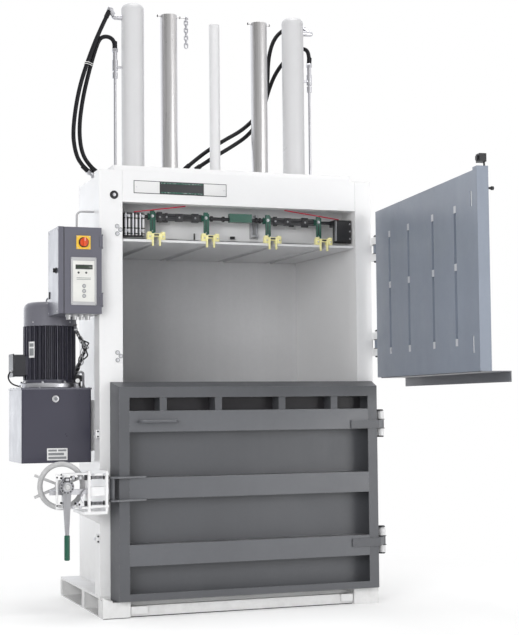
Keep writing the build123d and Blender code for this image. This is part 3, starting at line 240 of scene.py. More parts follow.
def cast(name, color, rough):
    """Painted casting with a coarse skin."""
    nodes = material(name)
    skin = nodes.noise(260, 5, rough=0.7)
    broad = nodes.noise(11, 4)
    tone = nodes.vary(broad, color, 0.86, 1.1)
    tone = nodes.mix(nodes.span(skin, 0.5, 0.75, 0, 0.35), tone, shade(color, 0.7))
    height = nodes.math("ADD", nodes.span(skin, 0, 1, 0, 0.5), nodes.span(broad, 0, 1, 0, 0.4))
    rough_map = nodes.span(skin, 0.3, 0.7, rough - 0.06, rough + 0.1)
    return nodes.finish(tone, rough_map, height, 0.0012, 0.5, 0.002)


def plastic(name, color, rough=0.35, texture=900, depth=0.0002, edge=0.0008, coat=0.0):
    """Moulded plastic with a fine texture."""
    nodes = material(name)
    fine = nodes.noise(texture, 2)
    broad = nodes.noise(16, 4)
    tone = nodes.vary(broad, color, 0.95, 1.05)
    rough_map = nodes.span(broad, 0.3, 0.7, rough - 0.04, rough + 0.06)
    return nodes.finish(tone, rough_map, fine, depth, 0.5, edge, **{"Coat Weight": coat})


def rubber(name, color, wrap=900, rough=0.55):
    """Wrapped hydraulic hose: fine cloth marks across the hose and a dull sheen."""
    nodes = material(name)
    weave = nodes.noise(wrap, 2, stretch=(1, 1, 1.6))
    scuffs = nodes.noise(28, 5)
    tone = nodes.mix(nodes.span(scuffs, 0.45, 0.8, 0, 0.5), color, shade(color, 2.2))
    height = nodes.math("ADD", nodes.span(weave, 0, 1, 0, 0.6), nodes.span(scuffs, 0, 1, 0, 0.4))
    return nodes.finish(tone, nodes.span(scuffs, 0.3, 0.7, rough - 0.08, rough + 0.1), height, 0.0006, 0.5,
                        **{"Specular IOR Level": 0.28})


def ink(name, color, rough=0.5):
    """Printed or anodised colour with a faint grain."""
    nodes = material(name)
    grain = nodes.noise(400, 3)
    tone = nodes.vary(grain, color, 0.93, 1.06)
    return nodes.finish(tone, nodes.span(grain, 0.2, 0.8, rough - 0.05, rough + 0.05), grain, 0.0001, 0.2)


# Finishes
white = paint(
    "white_paint_finish", (0.80, 0.80, 0.805), 0.36, wear=0.25, wear_color=(0.5, 0.5, 0.5), grime=0.28,
    dust=0.15, mottle=0.02)
inner_white = paint(
    "chamber_paint_finish", (0.66, 0.66, 0.67), 0.42, wear=0.3, wear_color=(0.4, 0.4, 0.41), mottle=0.05,
    streaks=0.12)
base_white = paint(
    "base_paint_finish", (0.78, 0.78, 0.78), 0.40, wear=0.3, wear_color=(0.55, 0.55, 0.55), grime=0.22,
    dust=0.1, mottle=0.02)
platen_white = paint(
    "press_plate_finish", (0.70, 0.70, 0.71), 0.4, wear=0.5, wear_color=(0.42, 0.42, 0.43), mottle=0.04,
    dust=0.2)
sensor_white = paint("sensor_finish", (0.70, 0.70, 0.71), 0.34, mottle=0.015, waves=0.05)
cylinder_white = paint("cylinder_finish", (0.60, 0.60, 0.61), 0.32, mottle=0.015, waves=0.05)
# The doors' grey in a lighter copy for the open upper door: painted light on its inner face
upper_lit_paint = paint(
    "upper_door_lit_finish", (0.224, 0.254, 0.309), 0.34, wear=0.6, wear_color=(0.34, 0.35, 0.38), mottle=0.06,
    dust=0.2, streaks=0.10)
apron_paint = paint(
    "apron_finish", (0.150, 0.155, 0.170), 0.36, wear=0.6, wear_color=(0.30, 0.30, 0.32), mottle=0.06,
    dust=0.3)
door_paint = paint(
    "door_paint_finish", (0.106, 0.110, 0.121), 0.36, wear=0.8, wear_color=(0.30, 0.30, 0.31), mottle=0.07,
    dust=0.25, streaks=0.10)
# Near-black colour of the pocket backs: painted shade in the pockets of the lower door
pocket_shade_paint = paint("pocket_shade_finish", (0.03, 0.028, 0.032), 0.6, wear=0.3, mottle=0.15)
# The doors' grey in a darker copy for the lower door's sheet: painted shade in its recessed fields
panel_shaded_paint = paint(
    "door_panel_shaded_finish", (0.087, 0.090, 0.099), 0.42, wear=0.5, mottle=0.08, streaks=0.16, coat=0.04)
cabinet_paint = paint(
    "cabinet_paint_finish", (0.106, 0.106, 0.134), 0.34, wear=0.3, mottle=0.04, waves=0.1, coat=0.5)
tank_paint = paint(
    "tank_paint_finish", (0.032, 0.031, 0.052), 0.32, wear=0.4, mottle=0.05, waves=0.15, coat=0.5)
motor_paint = paint(
    "motor_paint_finish", (0.050, 0.049, 0.068), 0.36, wear=0.25, mottle=0.08, dust=0.3, waves=0.05)
box_paint = paint(
    "terminal_box_finish", (0.022, 0.022, 0.027), 0.42, wear=0.4, mottle=0.15, dust=0.2, waves=0.05)
cowl_paint = paint(
    "cowl_paint_finish", (0.140, 0.140, 0.165), 0.34, wear=0.3, mottle=0.05, dust=0.25, waves=0.1)
dark_steel = paint(
    "dark_steel_finish", (0.021, 0.021, 0.024), 0.42, wear=0.6, wear_color=(0.16, 0.16, 0.17), mottle=0.2,
    waves=0.05)
green = paint("green_paint_finish", (0.011, 0.096, 0.064), 0.3, wear=0.6, mottle=0.12, waves=0.05)
cast_grey = cast("cast_grey_finish", (0.49, 0.49, 0.495), 0.45)
brushed = steel("brushed_tube_finish", (0.70, 0.69, 0.69), 0.30, stain=0.08)
zinc = steel("zinc_finish", (0.66, 0.66, 0.69), 0.34, grain=(1, 1, 1), grain_scale=220, stain=0.15)
polished = steel("polished_rod_finish", (0.70, 0.70, 0.72), 0.14, stain=0.05)
lever_steel = steel(
    "lever_steel_finish", (0.40, 0.40, 0.42), 0.38, grain=(1, 1, 0.05), grain_scale=200, stain=0.2)
bright = steel("bright_steel_finish", (0.72, 0.72, 0.72), 0.28, grain=(1, 1, 1), grain_scale=120, stain=0.12)
bezel_grey = plastic("bezel_finish", (0.46, 0.46, 0.47), 0.38)
grip_green = plastic("green_grip_finish", (0.006, 0.080, 0.047), 0.4, texture=500, depth=0.0005)
yellow = plastic("yellow_plastic_finish", (0.84, 0.79, 0.40), 0.35, edge=0.001)
red = plastic("red_plastic_finish", (0.70, 0.085, 0.02), 0.3, coat=0.3)
yellow_plate = plastic("yellow_plate_finish", (0.88, 0.56, 0.06), 0.35)
clip_zinc = plastic("clip_finish", (0.56, 0.57, 0.60), 0.3, coat=0.3)
panel_face = plastic("panel_face_finish", (0.72, 0.72, 0.69), 0.4)
black = plastic("black_plastic_finish", (0.018, 0.018, 0.02), 0.42)
pale_plastic = plastic("pale_plastic_finish", (0.7, 0.7, 0.68), 0.3, coat=0.3)
hose_rubber = rubber("hose_rubber_finish", (0.007, 0.007, 0.009))
grey_sheath = rubber("grey_sheath_finish", (0.10, 0.10, 0.11), wrap=300)
red_cord = rubber("red_cord_finish", (0.46, 0.012, 0.045), wrap=1500)
glass = ink("display_finish", (0.035, 0.05, 0.035), 0.15)
ink_grey = ink("grey_field_finish", (0.22, 0.23, 0.24))
ink_dark = ink("dark_field_finish", (0.035, 0.037, 0.04))
ink_pale = ink("pale_field_finish", (0.74, 0.74, 0.74))

NODE_FINISH = {
    base_white: ["base_frame"],
    white: ["left_pillar", "right_pillar", "left_wall", "right_wall", "header", "hinge_lugs", "lock_frame"],
    sensor_white: ["sensor_tube"],
    inner_white: ["chamber_floor", "back_wall"],
    platen_white: ["press_plate"],
    cylinder_white: ["cylinders"],
    # painted light: the upper door wears the lighter copy of the doors' grey
    upper_lit_paint: ["upper_door", "upper_handle"],
    apron_paint: ["door_apron"],
    door_paint: ["lower_rails", "grab_handle", "lock_keeper"],
    # painted shade: the lower door's sheet wears the darker copy of the doors' grey
    panel_shaded_paint: ["lower_door"],
    cabinet_paint: ["cabinet_box", "cabinet_door", "tank_lid"],
    tank_paint: ["oil_tank"],
    motor_paint: ["motor_body"],
    box_paint: ["terminal_box"],
    cowl_paint: ["fan_cowl"],
    cast_grey: ["handwheel"],
    brushed: ["guide_tubes"],
    zinc: ["lifting_chain", "mounting_plate", "hose_fittings", "lock_bolt", "motor_flange"],
    polished: ["piston_rods", "sensor_rod"],
    lever_steel: ["ratchet_lever"],
    bright: ["cable_glands"],
    dark_steel: ["lock_studs", "shaft_bearings", "lever_shaft"],
    green: ["strap_levers"],
    grip_green: ["lever_grip"],
    yellow: ["strap_clips"],
    clip_zinc: ["door_strap_clips"],
    red: ["switch_knob"],
    yellow_plate: ["switch_plate"],
    bezel_grey: ["control_panel"],
    black: ["door_actuator", "cooling_fan", "filler_cap", "cabinet_latch"],
    pale_plastic: ["sight_glass"],
    hose_rubber: ["left_outer_hose", "left_inner_hose", "right_outer_hose", "right_inner_hose",
                  "motor_cable"],
    grey_sheath: ["control_cable"],
    red_cord: ["pull_cords"],
}
for finish, names in NODE_FINISH.items():
    for name in names:
        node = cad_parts[name]
        node.data.materials.clear()
        node.data.materials.append(finish)


# Mesh helpers
def smooth_by_angle(mesh, degrees):
    mesh.polygons.foreach_set("use_smooth", [True] * len(mesh.polygons))
    mesh.set_sharp_from_angle(angle=math.radians(degrees))


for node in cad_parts.values():
    smooth_by_angle(node.data, 32)


def make(name, bm, finish, body="frame"):
    """Turns a bmesh into a piece that rides on a body."""
    bmesh.ops.recalc_face_normals(bm, faces=bm.faces[:])
    mesh = bpy.data.meshes.new(name)
    bm.to_mesh(mesh)
    bm.free()
    for item in finish if isinstance(finish, list) else [finish]:
        mesh.materials.append(item)
    smooth_by_angle(mesh, 35)
    piece = bpy.data.objects.new(name, mesh)
    scene.collection.objects.link(piece)
    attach(piece, body)


def block(bm, x0, x1, y0, y1, z0, z1, bevel=0.0, steps=2, index=0):
    """A box with rounded edges."""
    corners = bmesh.ops.create_cube(bm, size=1)["verts"]
    size = Vector((abs(x1 - x0), abs(y1 - y0), abs(z1 - z0))) * MM
    centre = Vector((x0 + x1, y0 + y1, z0 + z1)) * MM / 2
    for vert in corners:
        vert.co = Vector(a * b for a, b in zip(vert.co, size))
    faces = {face for vert in corners for face in vert.link_faces}
    if bevel:
        edges = list({edge for vert in corners for edge in vert.link_edges})
        made = bmesh.ops.bevel(bm, geom=edges, offset=bevel * MM, segments=steps, affect="EDGES",
                               profile=0.5)
        corners = list({vert for face in made["faces"] for vert in face.verts})
        faces = {face for vert in corners for face in vert.link_faces}
    for vert in corners:
        vert.co += centre
    for face in faces:
        face.material_index = index


AXES = {"x": Matrix(((0, 0, 1), (1, 0, 0), (0, 1, 0))), "y": Matrix(((1, 0, 0), (0, 0, 1), (0, 1, 0))),
        "z": Matrix.Identity(3)}


def toward(direction):
    """A basis whose third axis points along direction."""
    third = Vector(direction).normalized()
    side = third.cross(Vector(UP) if abs(third.z) < 0.9 else Vector(RIGHT)).normalized()
    return Matrix((side, third.cross(side), third)).transposed()


def skin(bm, rings, index=0):
    """Joins rings of corners, some of which may be a single point, and closes both ends."""
    for lower, upper in zip(rings, rings[1:]):
        count = max(len(lower), len(upper))
        for step in range(count):
            after = (step + 1) % count
            corners = []
            for vert in (lower[step % len(lower)], lower[after % len(lower)],
                         upper[after % len(upper)], upper[step % len(upper)]):
                if vert not in corners:
                    corners.append(vert)
            if len(corners) > 2:
                bm.faces.new(corners).material_index = index
    for ring, turned in ((rings[0], True), (rings[-1], False)):
        if len(ring) > 1:
            bm.faces.new(list(reversed(ring)) if turned else ring).material_index = index


def lathe(bm, centre, profile, axis="z", segments=28, index=0, basis=None):
    """Turns a profile of (radius, height) points about an axis through centre."""
    basis = basis or AXES[axis]
    origin = Vector(centre) * MM
    rings = []
    for radius, height in profile:
        if radius <= 0:
            rings.append([bm.verts.new(origin + basis @ Vector((0, 0, height * MM)))])
            continue
        ring = []
        for step in range(segments):
            angle = 2 * math.pi * step / segments
            local = Vector((math.cos(angle) * radius, math.sin(angle) * radius, height)) * MM
            ring.append(bm.verts.new(origin + basis @ local))
        rings.append(ring)
    skin(bm, rings, index)


def disc(bm, centre, radius, tall, axis="z", segments=28, index=0):
    lathe(bm, centre, [(0, 0), (radius, 0), (radius, tall), (0, tall)], axis, segments, index)


def cap(bm, centre, side, top, axis="z", segments=28, index=0, basis=None):
    """A disc whose side ends at one (radius, height) and whose chamfer ends at the next."""
    lathe(bm, centre, [(0, 0), (side[0], 0), side, top, (0, top[1])], axis, segments, index, basis)


def bolt(bm, centre, direction, across=17, height=8, index=0, turn=0.3):
    """A hexagon head with a chamfer, on a washer."""
    basis = toward(direction)
    washer = [(0, -0.5), (across * 0.72, -0.5), (across * 0.72, 1.4), (across * 0.66, 2), (0, 2)]
    lathe(bm, centre, washer, segments=20, index=index, basis=basis)
    low = 1.8
    radius = across / 2 / math.cos(math.pi / 6)
    high = low + height
    head = [(0, low), (radius, low), (radius, low + height * 0.8), (radius * 0.86, high), (0, high)]
    lathe(bm, centre, head, segments=6, index=index, basis=basis @ Matrix.Rotation(turn, 3, "Z"))


def dome(bm, centre, direction, radius=4.5, height=3, index=0, socket=True):
    """A button head screw with a small hexagon socket."""
    profile = [(0, -0.4), (radius, -0.4), (radius, height * 0.25), (radius * 0.86, height * 0.7),
               (radius * 0.55, height)]
    if socket:
        profile += [(radius * 0.42, height), (radius * 0.4, height * 0.4), (0, height * 0.4)]
    else:
        profile += [(0, height * 1.05)]
    lathe(bm, centre, profile, segments=16, index=index, basis=toward(direction))


def rod(bm, points, radius, segments=12, index=0):
    """A round rod through points, with its turns mitred."""
    spots = [Vector(points[0]) * MM]
    for point in points[1:]:
        if (Vector(point) * MM - spots[-1]).length > 1e-5:
            spots.append(Vector(point) * MM)
    rings = []
    for number, spot in enumerate(spots):
        before = (spot - spots[number - 1]).normalized() if number else None
        after = (spots[number + 1] - spot).normalized() if number < len(spots) - 1 else None
        inside = before is not None and after is not None
        along = (before + after).normalized() if inside else (before or after)
        if number == 0:
            side = toward(along) @ Vector(RIGHT)
        side = (side - along * side.dot(along)).normalized()
        other = along.cross(side)
        stretch = 1 / max(0.5, math.cos(before.angle(after) / 2)) if inside else 1.0
        ring = []
        for step in range(segments):
            angle = 2 * math.pi * step / segments
            outward = side * math.cos(angle) + other * math.sin(angle)
            ring.append(bm.verts.new(spot + outward * radius * MM * stretch))
        rings.append(ring)
    skin(bm, rings, index)


def arc(centre, start, end, radius, steps=8):
    """Points of an arc that stands from left to right; angles in degrees."""
    spots = []
    for step in range(steps + 1):
        angle = math.radians(start + (end - start) * step / steps)
        spots.append((centre[0] + math.cos(angle) * radius, centre[1], centre[2] + math.sin(angle) * radius))
    return spots


def around(a, b, radius, count, start):
    """Points evenly spaced on a circle about (a, b), the first at start degrees."""
    for number in range(count):
        angle = math.radians(360 / count * number + start)
        yield a + radius * math.cos(angle), b + radius * math.sin(angle)


def seam(bm, start, end, width=5, pitch=3.5, out=AHEAD):
    """A weld bead from start to end: overlapping scales in a low round ridge."""
    first, last = Vector(start), Vector(end)
    length = (last - first).length
    along = (last - first).normalized()
    outward = Vector(out).normalized()
    side = along.cross(outward).normalized()
    steps = max(4, int(length / pitch * 2))
    rings = []
    for number in range(steps + 1):
        spot = first + along * length * number / steps
        swell = 1.0 + (0.16 if number % 2 else -0.12) + random.uniform(-0.06, 0.06)
        if number in (0, steps):
            swell = 0.25
        ring = []
        for step in range(7):
            angle = math.pi * step / 6
            aside = side * math.cos(angle) * width / 2 * swell
            raised = outward * (math.sin(angle) * width * 0.42 * swell - 0.3)
            ring.append(bm.verts.new((spot + aside + raised) * MM))
        rings.append(ring)
    skin(bm, rings)


# Hoses and cables: smooth splines through the routes of the solid model
def spline(name, route, radius, finish):
    curve = bpy.data.curves.new(name, "CURVE")
    curve.dimensions = "3D"
    curve.bevel_depth = radius * MM
    curve.bevel_resolution = 5
    curve.resolution_u = 10
    curve.use_fill_caps = True
    line = curve.splines.new("NURBS")
    line.points.add(len(route) - 1)
    for point, spot in zip(line.points, route):
        point.co = (*(coordinate * MM for coordinate in spot), 1)
    line.order_u = 3
    line.use_endpoint_u = True
    curve.materials.append(finish)
    cord = bpy.data.objects.new(name, curve)
    scene.collection.objects.link(cord)
    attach(cord, "frame")
    return cord


def along_spline(route, steps=6):
    """Points on the curve that spline() draws for a route."""
    spots = [Vector(route[0])]
    for number in range(1, len(route) - 1):
        before, here, after = (Vector(route[k]) for k in (number - 1, number, number + 1))
        start = before if number == 1 else (before + here) / 2
        end = after if number == len(route) - 2 else (here + after) / 2
        for step in range(1, steps + 1):
            t = step / steps
            spots.append(start * (1 - t) ** 2 + here * 2 * t * (1 - t) + end * t * t)
    return spots


HOSE = 10.5  # radius of a hydraulic hose

# Each route with its radius and its length in metres
ROUTES = {
    "left_outer_hose": (
        [(-541, 16, 2962), (-590, 19, 2860), (-648, 26, 2712), (-700, 38, 2540), (-723, 62, 2345),
         (-706, 85, 2246), (-674, 104, 2186), (-628, 113, 2148)], HOSE, 0.882),
    "left_inner_hose": (
        [(-516.5, 16, 2754), (-517, 18, 2796), (-535, 23, 2820), (-564, 30, 2827), (-591, 37, 2814),
         (-611, 45, 2757), (-639, 52, 2656), (-672, 62, 2509), (-688, 76, 2360), (-672, 90, 2240),
         (-625, 102, 2175), (-582, 110, 2144)], HOSE, 0.851),
    "right_outer_hose": (
        [(-142, 88, 2173), (-58, 88, 2250), (68, 88, 2336), (200, 87, 2412), (300, 86, 2524),
         (328, 86, 2655), (334, 92, 2796), (368, 98, 2905), (432, 102, 2966), (488, 88, 2978),
         (517, 50, 2958)], HOSE, 1.146),
    "right_inner_hose": (
        [(-91, 70, 2173), (-8, 73, 2233), (108, 82, 2302), (226, 98, 2382), (306, 114, 2492),
         (338, 121, 2612), (384, 119, 2728), (452, 108, 2816), (505, 90, 2862), (540, 52, 2852),
         (543, 28, 2800), (535.5, 16, 2754)], HOSE, 1.097),
    "control_cable": (
        [(-805, -345, 1374), (-803, -344, 1334), (-782, -330, 1296), (-750, -290, 1270),
         (-726, -225, 1252), (-720, -155, 1222), (-722, -90, 1180), (-727, -40, 1150),
         (-729, -8, 1116), (-729, 5, 1085)], 6, 0.504),
    "motor_cable": (
        [(-1063, -120, 1137), (-1077, -124, 1124), (-1075, -138, 1096), (-1056, -150, 1074),
         (-1030, -160, 1068)], 3.5, 0.108),
}
for name, (route, radius, length) in ROUTES.items():
    finish = grey_sheath if name == "control_cable" else hose_rubber
    cord = spline(name + "_line", route, radius, finish)
    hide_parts(name)

# Header plate: two pale fields and a dark one with two green lines
bm = bmesh.new()
block(bm, -533, -71, FRONT - 1.6, FRONT + 0.5, 1973, 2034, 0.6)
for x0, x1, tone in ((-530, -406, 1), (-403, -189, 2), (-186, -74, 1)):
    block(bm, x0, x1, FRONT - 2.4, FRONT - 1.2, 1976, 2031, 0.4, index=tone)
make("header_plate", bm, [ink_dark, ink_pale, ink_dark])
bm = bmesh.new()
for z in (1978, 2023):
    block(bm, -401, -191, FRONT - 2.8, FRONT - 2.2, z, z + 6, 0.2)
for x in (-520, -84):
    dome(bm, (x, FRONT - 2.2, 2003), AHEAD, 3.2, 1.6, index=1, socket=False)
make("header_plate_lines", bm, [green, zinc])

# Round cap on the left pillar
bm = bmesh.new()
lathe(bm, (-628, FRONT + 0.5, 1961), [(0, 0), (20, 0), (20, -2.5), (18, -5), (14, -5.4), (13, -3), (0, -3)],
      "y", 40)
cap(bm, (-628, FRONT - 2.4, 1961), (8, -3.6), (5, -5), "y", 24, 1)
make("pillar_cap", bm, [black, zinc])

# Flat plates with screws beside the feed opening, and small brackets lower down on the left pillar
bm = bmesh.new()
for z in (1795, 1202):
    block(bm, -627, -590, FRONT - 0.7, FRONT + 0.5, z - 32, z + 32, 0.4)
    for x, up in ((-614, 18), (-598, 2), (-613, -17)):
        disc(bm, (x, FRONT - 0.6, z + up), 10.5, -0.7, "y", 24, 3)
        dome(bm, (x, FRONT - 1.2, z + up), AHEAD, 8, 1.4, index=1)
for z in (843, 361):
    block(bm, -718, -699, FRONT - 2, FRONT + 34, z - 20, z + 20, 2.5)
    block(bm, -724, -700, FRONT + 6, FRONT + 26, z - 7, z + 7, 3, index=1)
    for up in (-12, 12):
        cap(bm, (-709, FRONT - 1.5, z + up), (4.5, -4), (3, -5.5), "y", 16, 2)
make("pillar_fittings", bm, [white, zinc, black, ink_grey])

# Bolts of the flanges on the crown
bm = bmesh.new()
for places, radius, count, start, thick, across, height, turn in (
        (CYLINDERS, 70, 8, 22, 20, 14, 8, 0.4), (TUBES, 54, 4, 45, 12, 11, 7, 0.5),
        ((CENTRE,), 37, 4, 45, 10, 8, 5, 1)):
    for place in places:
        for number, (x, y) in enumerate(around(place, AXIS, radius, count, start)):
            bolt(bm, (x, y, CROWN + thick), UP, across, height, turn=number * turn)
make("crown_bolts", bm, zinc)

# Weld beads of the frame
bm = bmesh.new()
for x in (-587, 606):
    seam(bm, (x, FRONT, 1931), (x, FRONT, 2078))
z = BASE_TOP + 0.5
seam(bm, (-699, FRONT - 0.5, z), (-589, FRONT - 0.5, z), 6, out=(0, -1, 1))
seam(bm, (-700, -394, z), (-700, -296, z), 6, out=(-1, 0, 1))
z = BASE_TOP + 1
for x, side in ((-605, -1), (626, 1)):
    seam(bm, (x, -294, z), (x, 426, z), 6, 4, out=(side, 0, 1))
seam(bm, (-604, 435, z), (625, 435, z), 6, 5, out=(0, 1, 1))
for x, side in ((-605, -1), (630, 1)):
    seam(bm, (x, -295, 110), (x, -295, 2090), 6, 5, out=(side, 0, 0))
for y in (-430, -370, -84, -31, 410, 449):
    seam(bm, (-700.5, y, 8), (-700.5, y, 82), out=LEFT)
seam(bm, (-810, -544, 497.5), (-702, -544, 497.5), out=(0, -1, 1))
seam(bm, (-806, -396, 484.5), (-701, -396, 484.5), out=(0, -1, -1))
for z in HINGES:
    for up in (-58, 58):
        seam(bm, (692, FRONT + 14, z + up * 0.98), (692, FRONT + 62, z + up * 0.98),
             out=(1, 0, math.copysign(1, up)))
for x in SLOTS:
    for side in (-35, 35):
        seam(bm, (x + side, 434.5, 120), (x + side, 434.5, 2090), 5, 6, out=(side / 35, 1, 0))
make("frame_welds", bm, white)

# Black strips under the front of the base: painted contact shadow between the base and the floor
bm = bmesh.new()
block(bm, -566, 546, -433, -429, 0.2, 4.2, 0.6)
block(bm, -699, -571, -452, -449, 0.2, 3.0, 0.6)
make("contact_shadow_strip", bm, black)

# Caps in the ends of the guide tubes, and pins
bm = bmesh.new()
for x in TUBES:
    cap(bm, (x, AXIS, 2949), (36.9, 4), (34, 6.4), "z", 40)
    for side in (-58, 58):
        cap(bm, (x + side, AXIS, 2951), (6.5, 2.5), (5, 3.5), segments=16, index=1,
            basis=toward((side, 0, 0)))
make("guide_caps", bm, [black, dark_steel], "press")

# Near-black sheets at the backs of the pockets along the top of the lower door: painted shade of the deep
# openings
bm = bmesh.new()
for x0, x1 in ((-583, -438.5), (-402.5, -168.5), (-132.5, 151.5), (187.5, 421.5), (457.5, 614)):
    block(bm, x0, x1, -405.4, -404.2, 949, 1008, 0.3, steps=1)
make("pocket_shade_backs", bm, [pocket_shade_paint], "lower_door")

# Hinge pin heads, washers and lug screws
bm = bmesh.new()
for z in HINGES:
    cap(bm, (HINGE_X, HINGE_Y, z + 63), (18, 4), (14, 8))
    lathe(bm, (HINGE_X, HINGE_Y, z - 65.5), [(0, 0), (16, 0), (18, 2.5), (18, 7), (0, 7)])
    for up in (-23.5, 20.5):
        disc(bm, (HINGE_X, HINGE_Y, z + up), 24, 3)
    for up in (-44, 44):
        dome(bm, (699, FRONT + 38, z + up), RIGHT, 6, 4, index=1)
make("hinge_pins", bm, [dark_steel, zinc])

# Bars on the left guide block, and the cover of the right one
bm = bmesh.new()
y = BEARING_FRONT - 6
for number, x in enumerate((-561, -543, -526, -508, -491, -474)):
    rod(bm, [(x, y, 1779), (x, y, 1884)], 5.2 if number % 2 else 6.5, 14, index=number % 2)
for z in (1786, 1812, 1860, 1880):
    block(bm, -568, -468, y - 6, y, z - 3, z + 3, 1, index=2)
for x, z in ((-552, 1800), (-482, 1800), (-552, 1871), (-482, 1871)):
    bolt(bm, (x, y - 6, z), AHEAD, 9, 5)
make("left_block_bars", bm, [zinc, inner_white, dark_steel])
bm = bmesh.new()
block(bm, 517, 601, BEARING_FRONT - 15, BEARING_FRONT + 1, 1777, 1887, 9, 4)
block(bm, 515, 520, BEARING_FRONT - 17, BEARING_FRONT, 1782, 1882, 1.5, index=1)
for z in (1795, 1832, 1869):
    dome(bm, (592, BEARING_FRONT - 15, z), AHEAD, 4.5, 3, index=1)
make("right_block_cover", bm, [black, zinc])

# Collars, blocks and screws on the strap shaft and its levers
bm = bmesh.new()
for x in SLOTS:
    for side in (-13, 13):
        cap(bm, (x + side, SHAFT_Y, SHAFT_Z), (17, 3), (15, 4.5), segments=24, basis=toward((side, 0, 0)))
    bolt(bm, (x, LEVER_FRONT - 0.5, SHAFT_Z), AHEAD, 11, 6, index=1)
    dome(bm, (x, LEVER_FRONT - 0.3, 1806), AHEAD, 4, 3, index=1)
    block(bm, x - 2, x + 2, LEVER_FRONT - 0.8, LEVER_FRONT + 0.5, 1814, 1864, 0.5, index=2)
    block(bm, x + 11, x + 17, LEVER_FRONT + 2, LEVER_FRONT + 16, 1800, 1900, 1.5)
for x0, x1, z0, z1 in ((-392, -366, 1852, 1902), (-352, -338, 1858, 1898), (-300, -262, 1858, 1896),
                       (-218, -182, 1856, 1899), (206, 226, 1854, 1900), (262, 300, 1858, 1896),
                       (356, 392, 1853, 1900)):
    block(bm, x0, x1, SHAFT_Y - 8, SHAFT_Y + 8, z0, z1, 2.5, index=2)
    dome(bm, ((x0 + x1) / 2, SHAFT_Y - 8, (z0 + z1) / 2), AHEAD, 5, 3.5, index=1)
for x in (-120, -60, 112, 132):
    cap(bm, (x, SHAFT_Y, SHAFT_Z), (14, 9), (12, 11), "x", 24, 2)
make("shaft_details", bm, [green, zinc, dark_steel], "strap_shaft")

# Brackets on the wall behind the strap shaft
WALL = -221
bm = bmesh.new()
for x in (-330, 330):
    block(bm, x - 26, x + 26, WALL, WALL + 5, 1850, 1900, 1)
    for side in (-16, 16):
        dome(bm, (x + side, WALL, 1890), AHEAD, 5, 3.5, index=1)
for x in (118, 142):
    rod(bm, [(x, WALL - 5, 1796), (x, WALL - 5, 1915)], 7, 14, index=1)
for z in (1800, 1886):
    block(bm, 112, 148, WALL - 14, WALL + 1, z, z + 15, 2, index=1)
block(bm, 108, 152, WALL - 1, WALL + 2, 1794, 1912, 1, index=3)
block(bm, 4, 28, WALL - 11, WALL, 1790, 1803, 2, index=2)
rod(bm, [(-182, WALL - 5, 1780), (-182, WALL - 5, 1812)], 3, 10, index=2)
for x in (-330, 330):
    block(bm, x - 13, x + 13, WALL - 11, WALL + 0.5, 1862, 1882, 2, index=2)
make("header_inner_details", bm, [inner_white, zinc, black, bezel_grey])


# Rails and weld beads of the press plate
def beside(bm, x, side, near, far, y0, y1, z0, z1, bevel, steps=2):
    """A block between two distances from x, on the side given by -1 or 1."""
    low, high = sorted((x + side * near, x + side * far))
    block(bm, low, high, y0, y1, z0, z1, bevel, steps)


bm = bmesh.new()
for x in SLOTS:
    for side in (-1, 1):
        beside(bm, x, side, 13.2, 21, -380, 410, PLATE_UNDER - 3.8, PLATE_UNDER + 0.4, 0.8)
for side in (-75, 75):
    for rim in (-20, 20):
        y, z = AXIS + side + rim, PLATE_UNDER + 12.5
        seam(bm, (-560, y, z), (580, y, z), 5, 6, out=(0, math.copysign(1, rim), 1))
make("platen_rails", bm, [platen_white], "press")

# Hooks and screws of the strap clips
bm = bmesh.new()
for x in SLOTS:
    for side in (-1, 1):
        beside(bm, x, side, 24, 43, CLIP_FRONT - 2, CLIP_FRONT + 22, 1782, 1794, 3, 3)
        beside(bm, x, side, 27, 40, CLIP_FRONT - 4, CLIP_FRONT + 2, 1762, 1781, 2)
        beside(bm, x, side, 14, 21, CLIP_FRONT - 3, CLIP_FRONT + 1, 1729, 1772, 1.5)
        dome(bm, (x + side * 33, CLIP_FRONT - 4, 1771), AHEAD, 4.2, 3, index=1)
    block(bm, x - 12, x + 12, CLIP_FRONT - 1.5, CLIP_FRONT + 1.5, 1775, 1783, 1, index=2)
make("strap_clip_details", bm, [yellow, zinc, dark_steel], "press")


# Nuts and crimped sleeves of the hoses
def ferrule(bm, end, after, radius):
    """A crimped sleeve with a hexagon nut, from the end of a hose along it."""
    basis = toward(Vector(after) - Vector(end))
    nut = [(0, -9), (radius * 1.42, -9), (radius * 1.5, -7.5), (radius * 1.5, 7), (radius * 1.38, 9), (0, 9)]
    lathe(bm, end, nut, segments=6, basis=basis)
    sleeve = [(0, 8.5), (radius * 1.05, 8.5), (radius * 1.22, 11)]
    for ridge in range(5):
        sleeve += [(radius * 1.22, 13 + ridge * 6), (radius * 1.14, 14.5 + ridge * 6),
                   (radius * 1.14, 17 + ridge * 6), (radius * 1.22, 18.5 + ridge * 6)]
    sleeve += [(radius * 1.22, 45), (radius * 1.06, 47), (0, 47)]
    lathe(bm, end, sleeve, index=1, basis=basis)


bm = bmesh.new()
for name, (route, radius, length) in ROUTES.items():
    if radius == HOSE:
        ferrule(bm, route[0], route[1], radius)
        ferrule(bm, route[-1], route[-2], radius)
make("hose_ferrules", bm, [zinc, hose_rubber])

# Tie around the two left hoses
bm = bmesh.new()
for z, tilt in ((2686, 0), (2677, 2)):
    first, second = Vector((-657 - tilt, 28, z)), Vector((-633 - tilt, 50, z - 2))
    across = (second - first).normalized()
    side = Vector(UP).cross(across).normalized()
    loop = []
    for hose, way in ((second, 1), (first, -1)):
        for step in range(9):
            angle = math.pi * step / 8
            loop.append(hose + (across * math.sin(angle) + side * math.cos(angle)) * 12.4 * way)
    loop.append(loop[0] + Vector((0, 0, 0.5)))
    rod(bm, [tuple(spot) for spot in loop], 2.0, 8)
make("hose_tie", bm, pale_plastic)

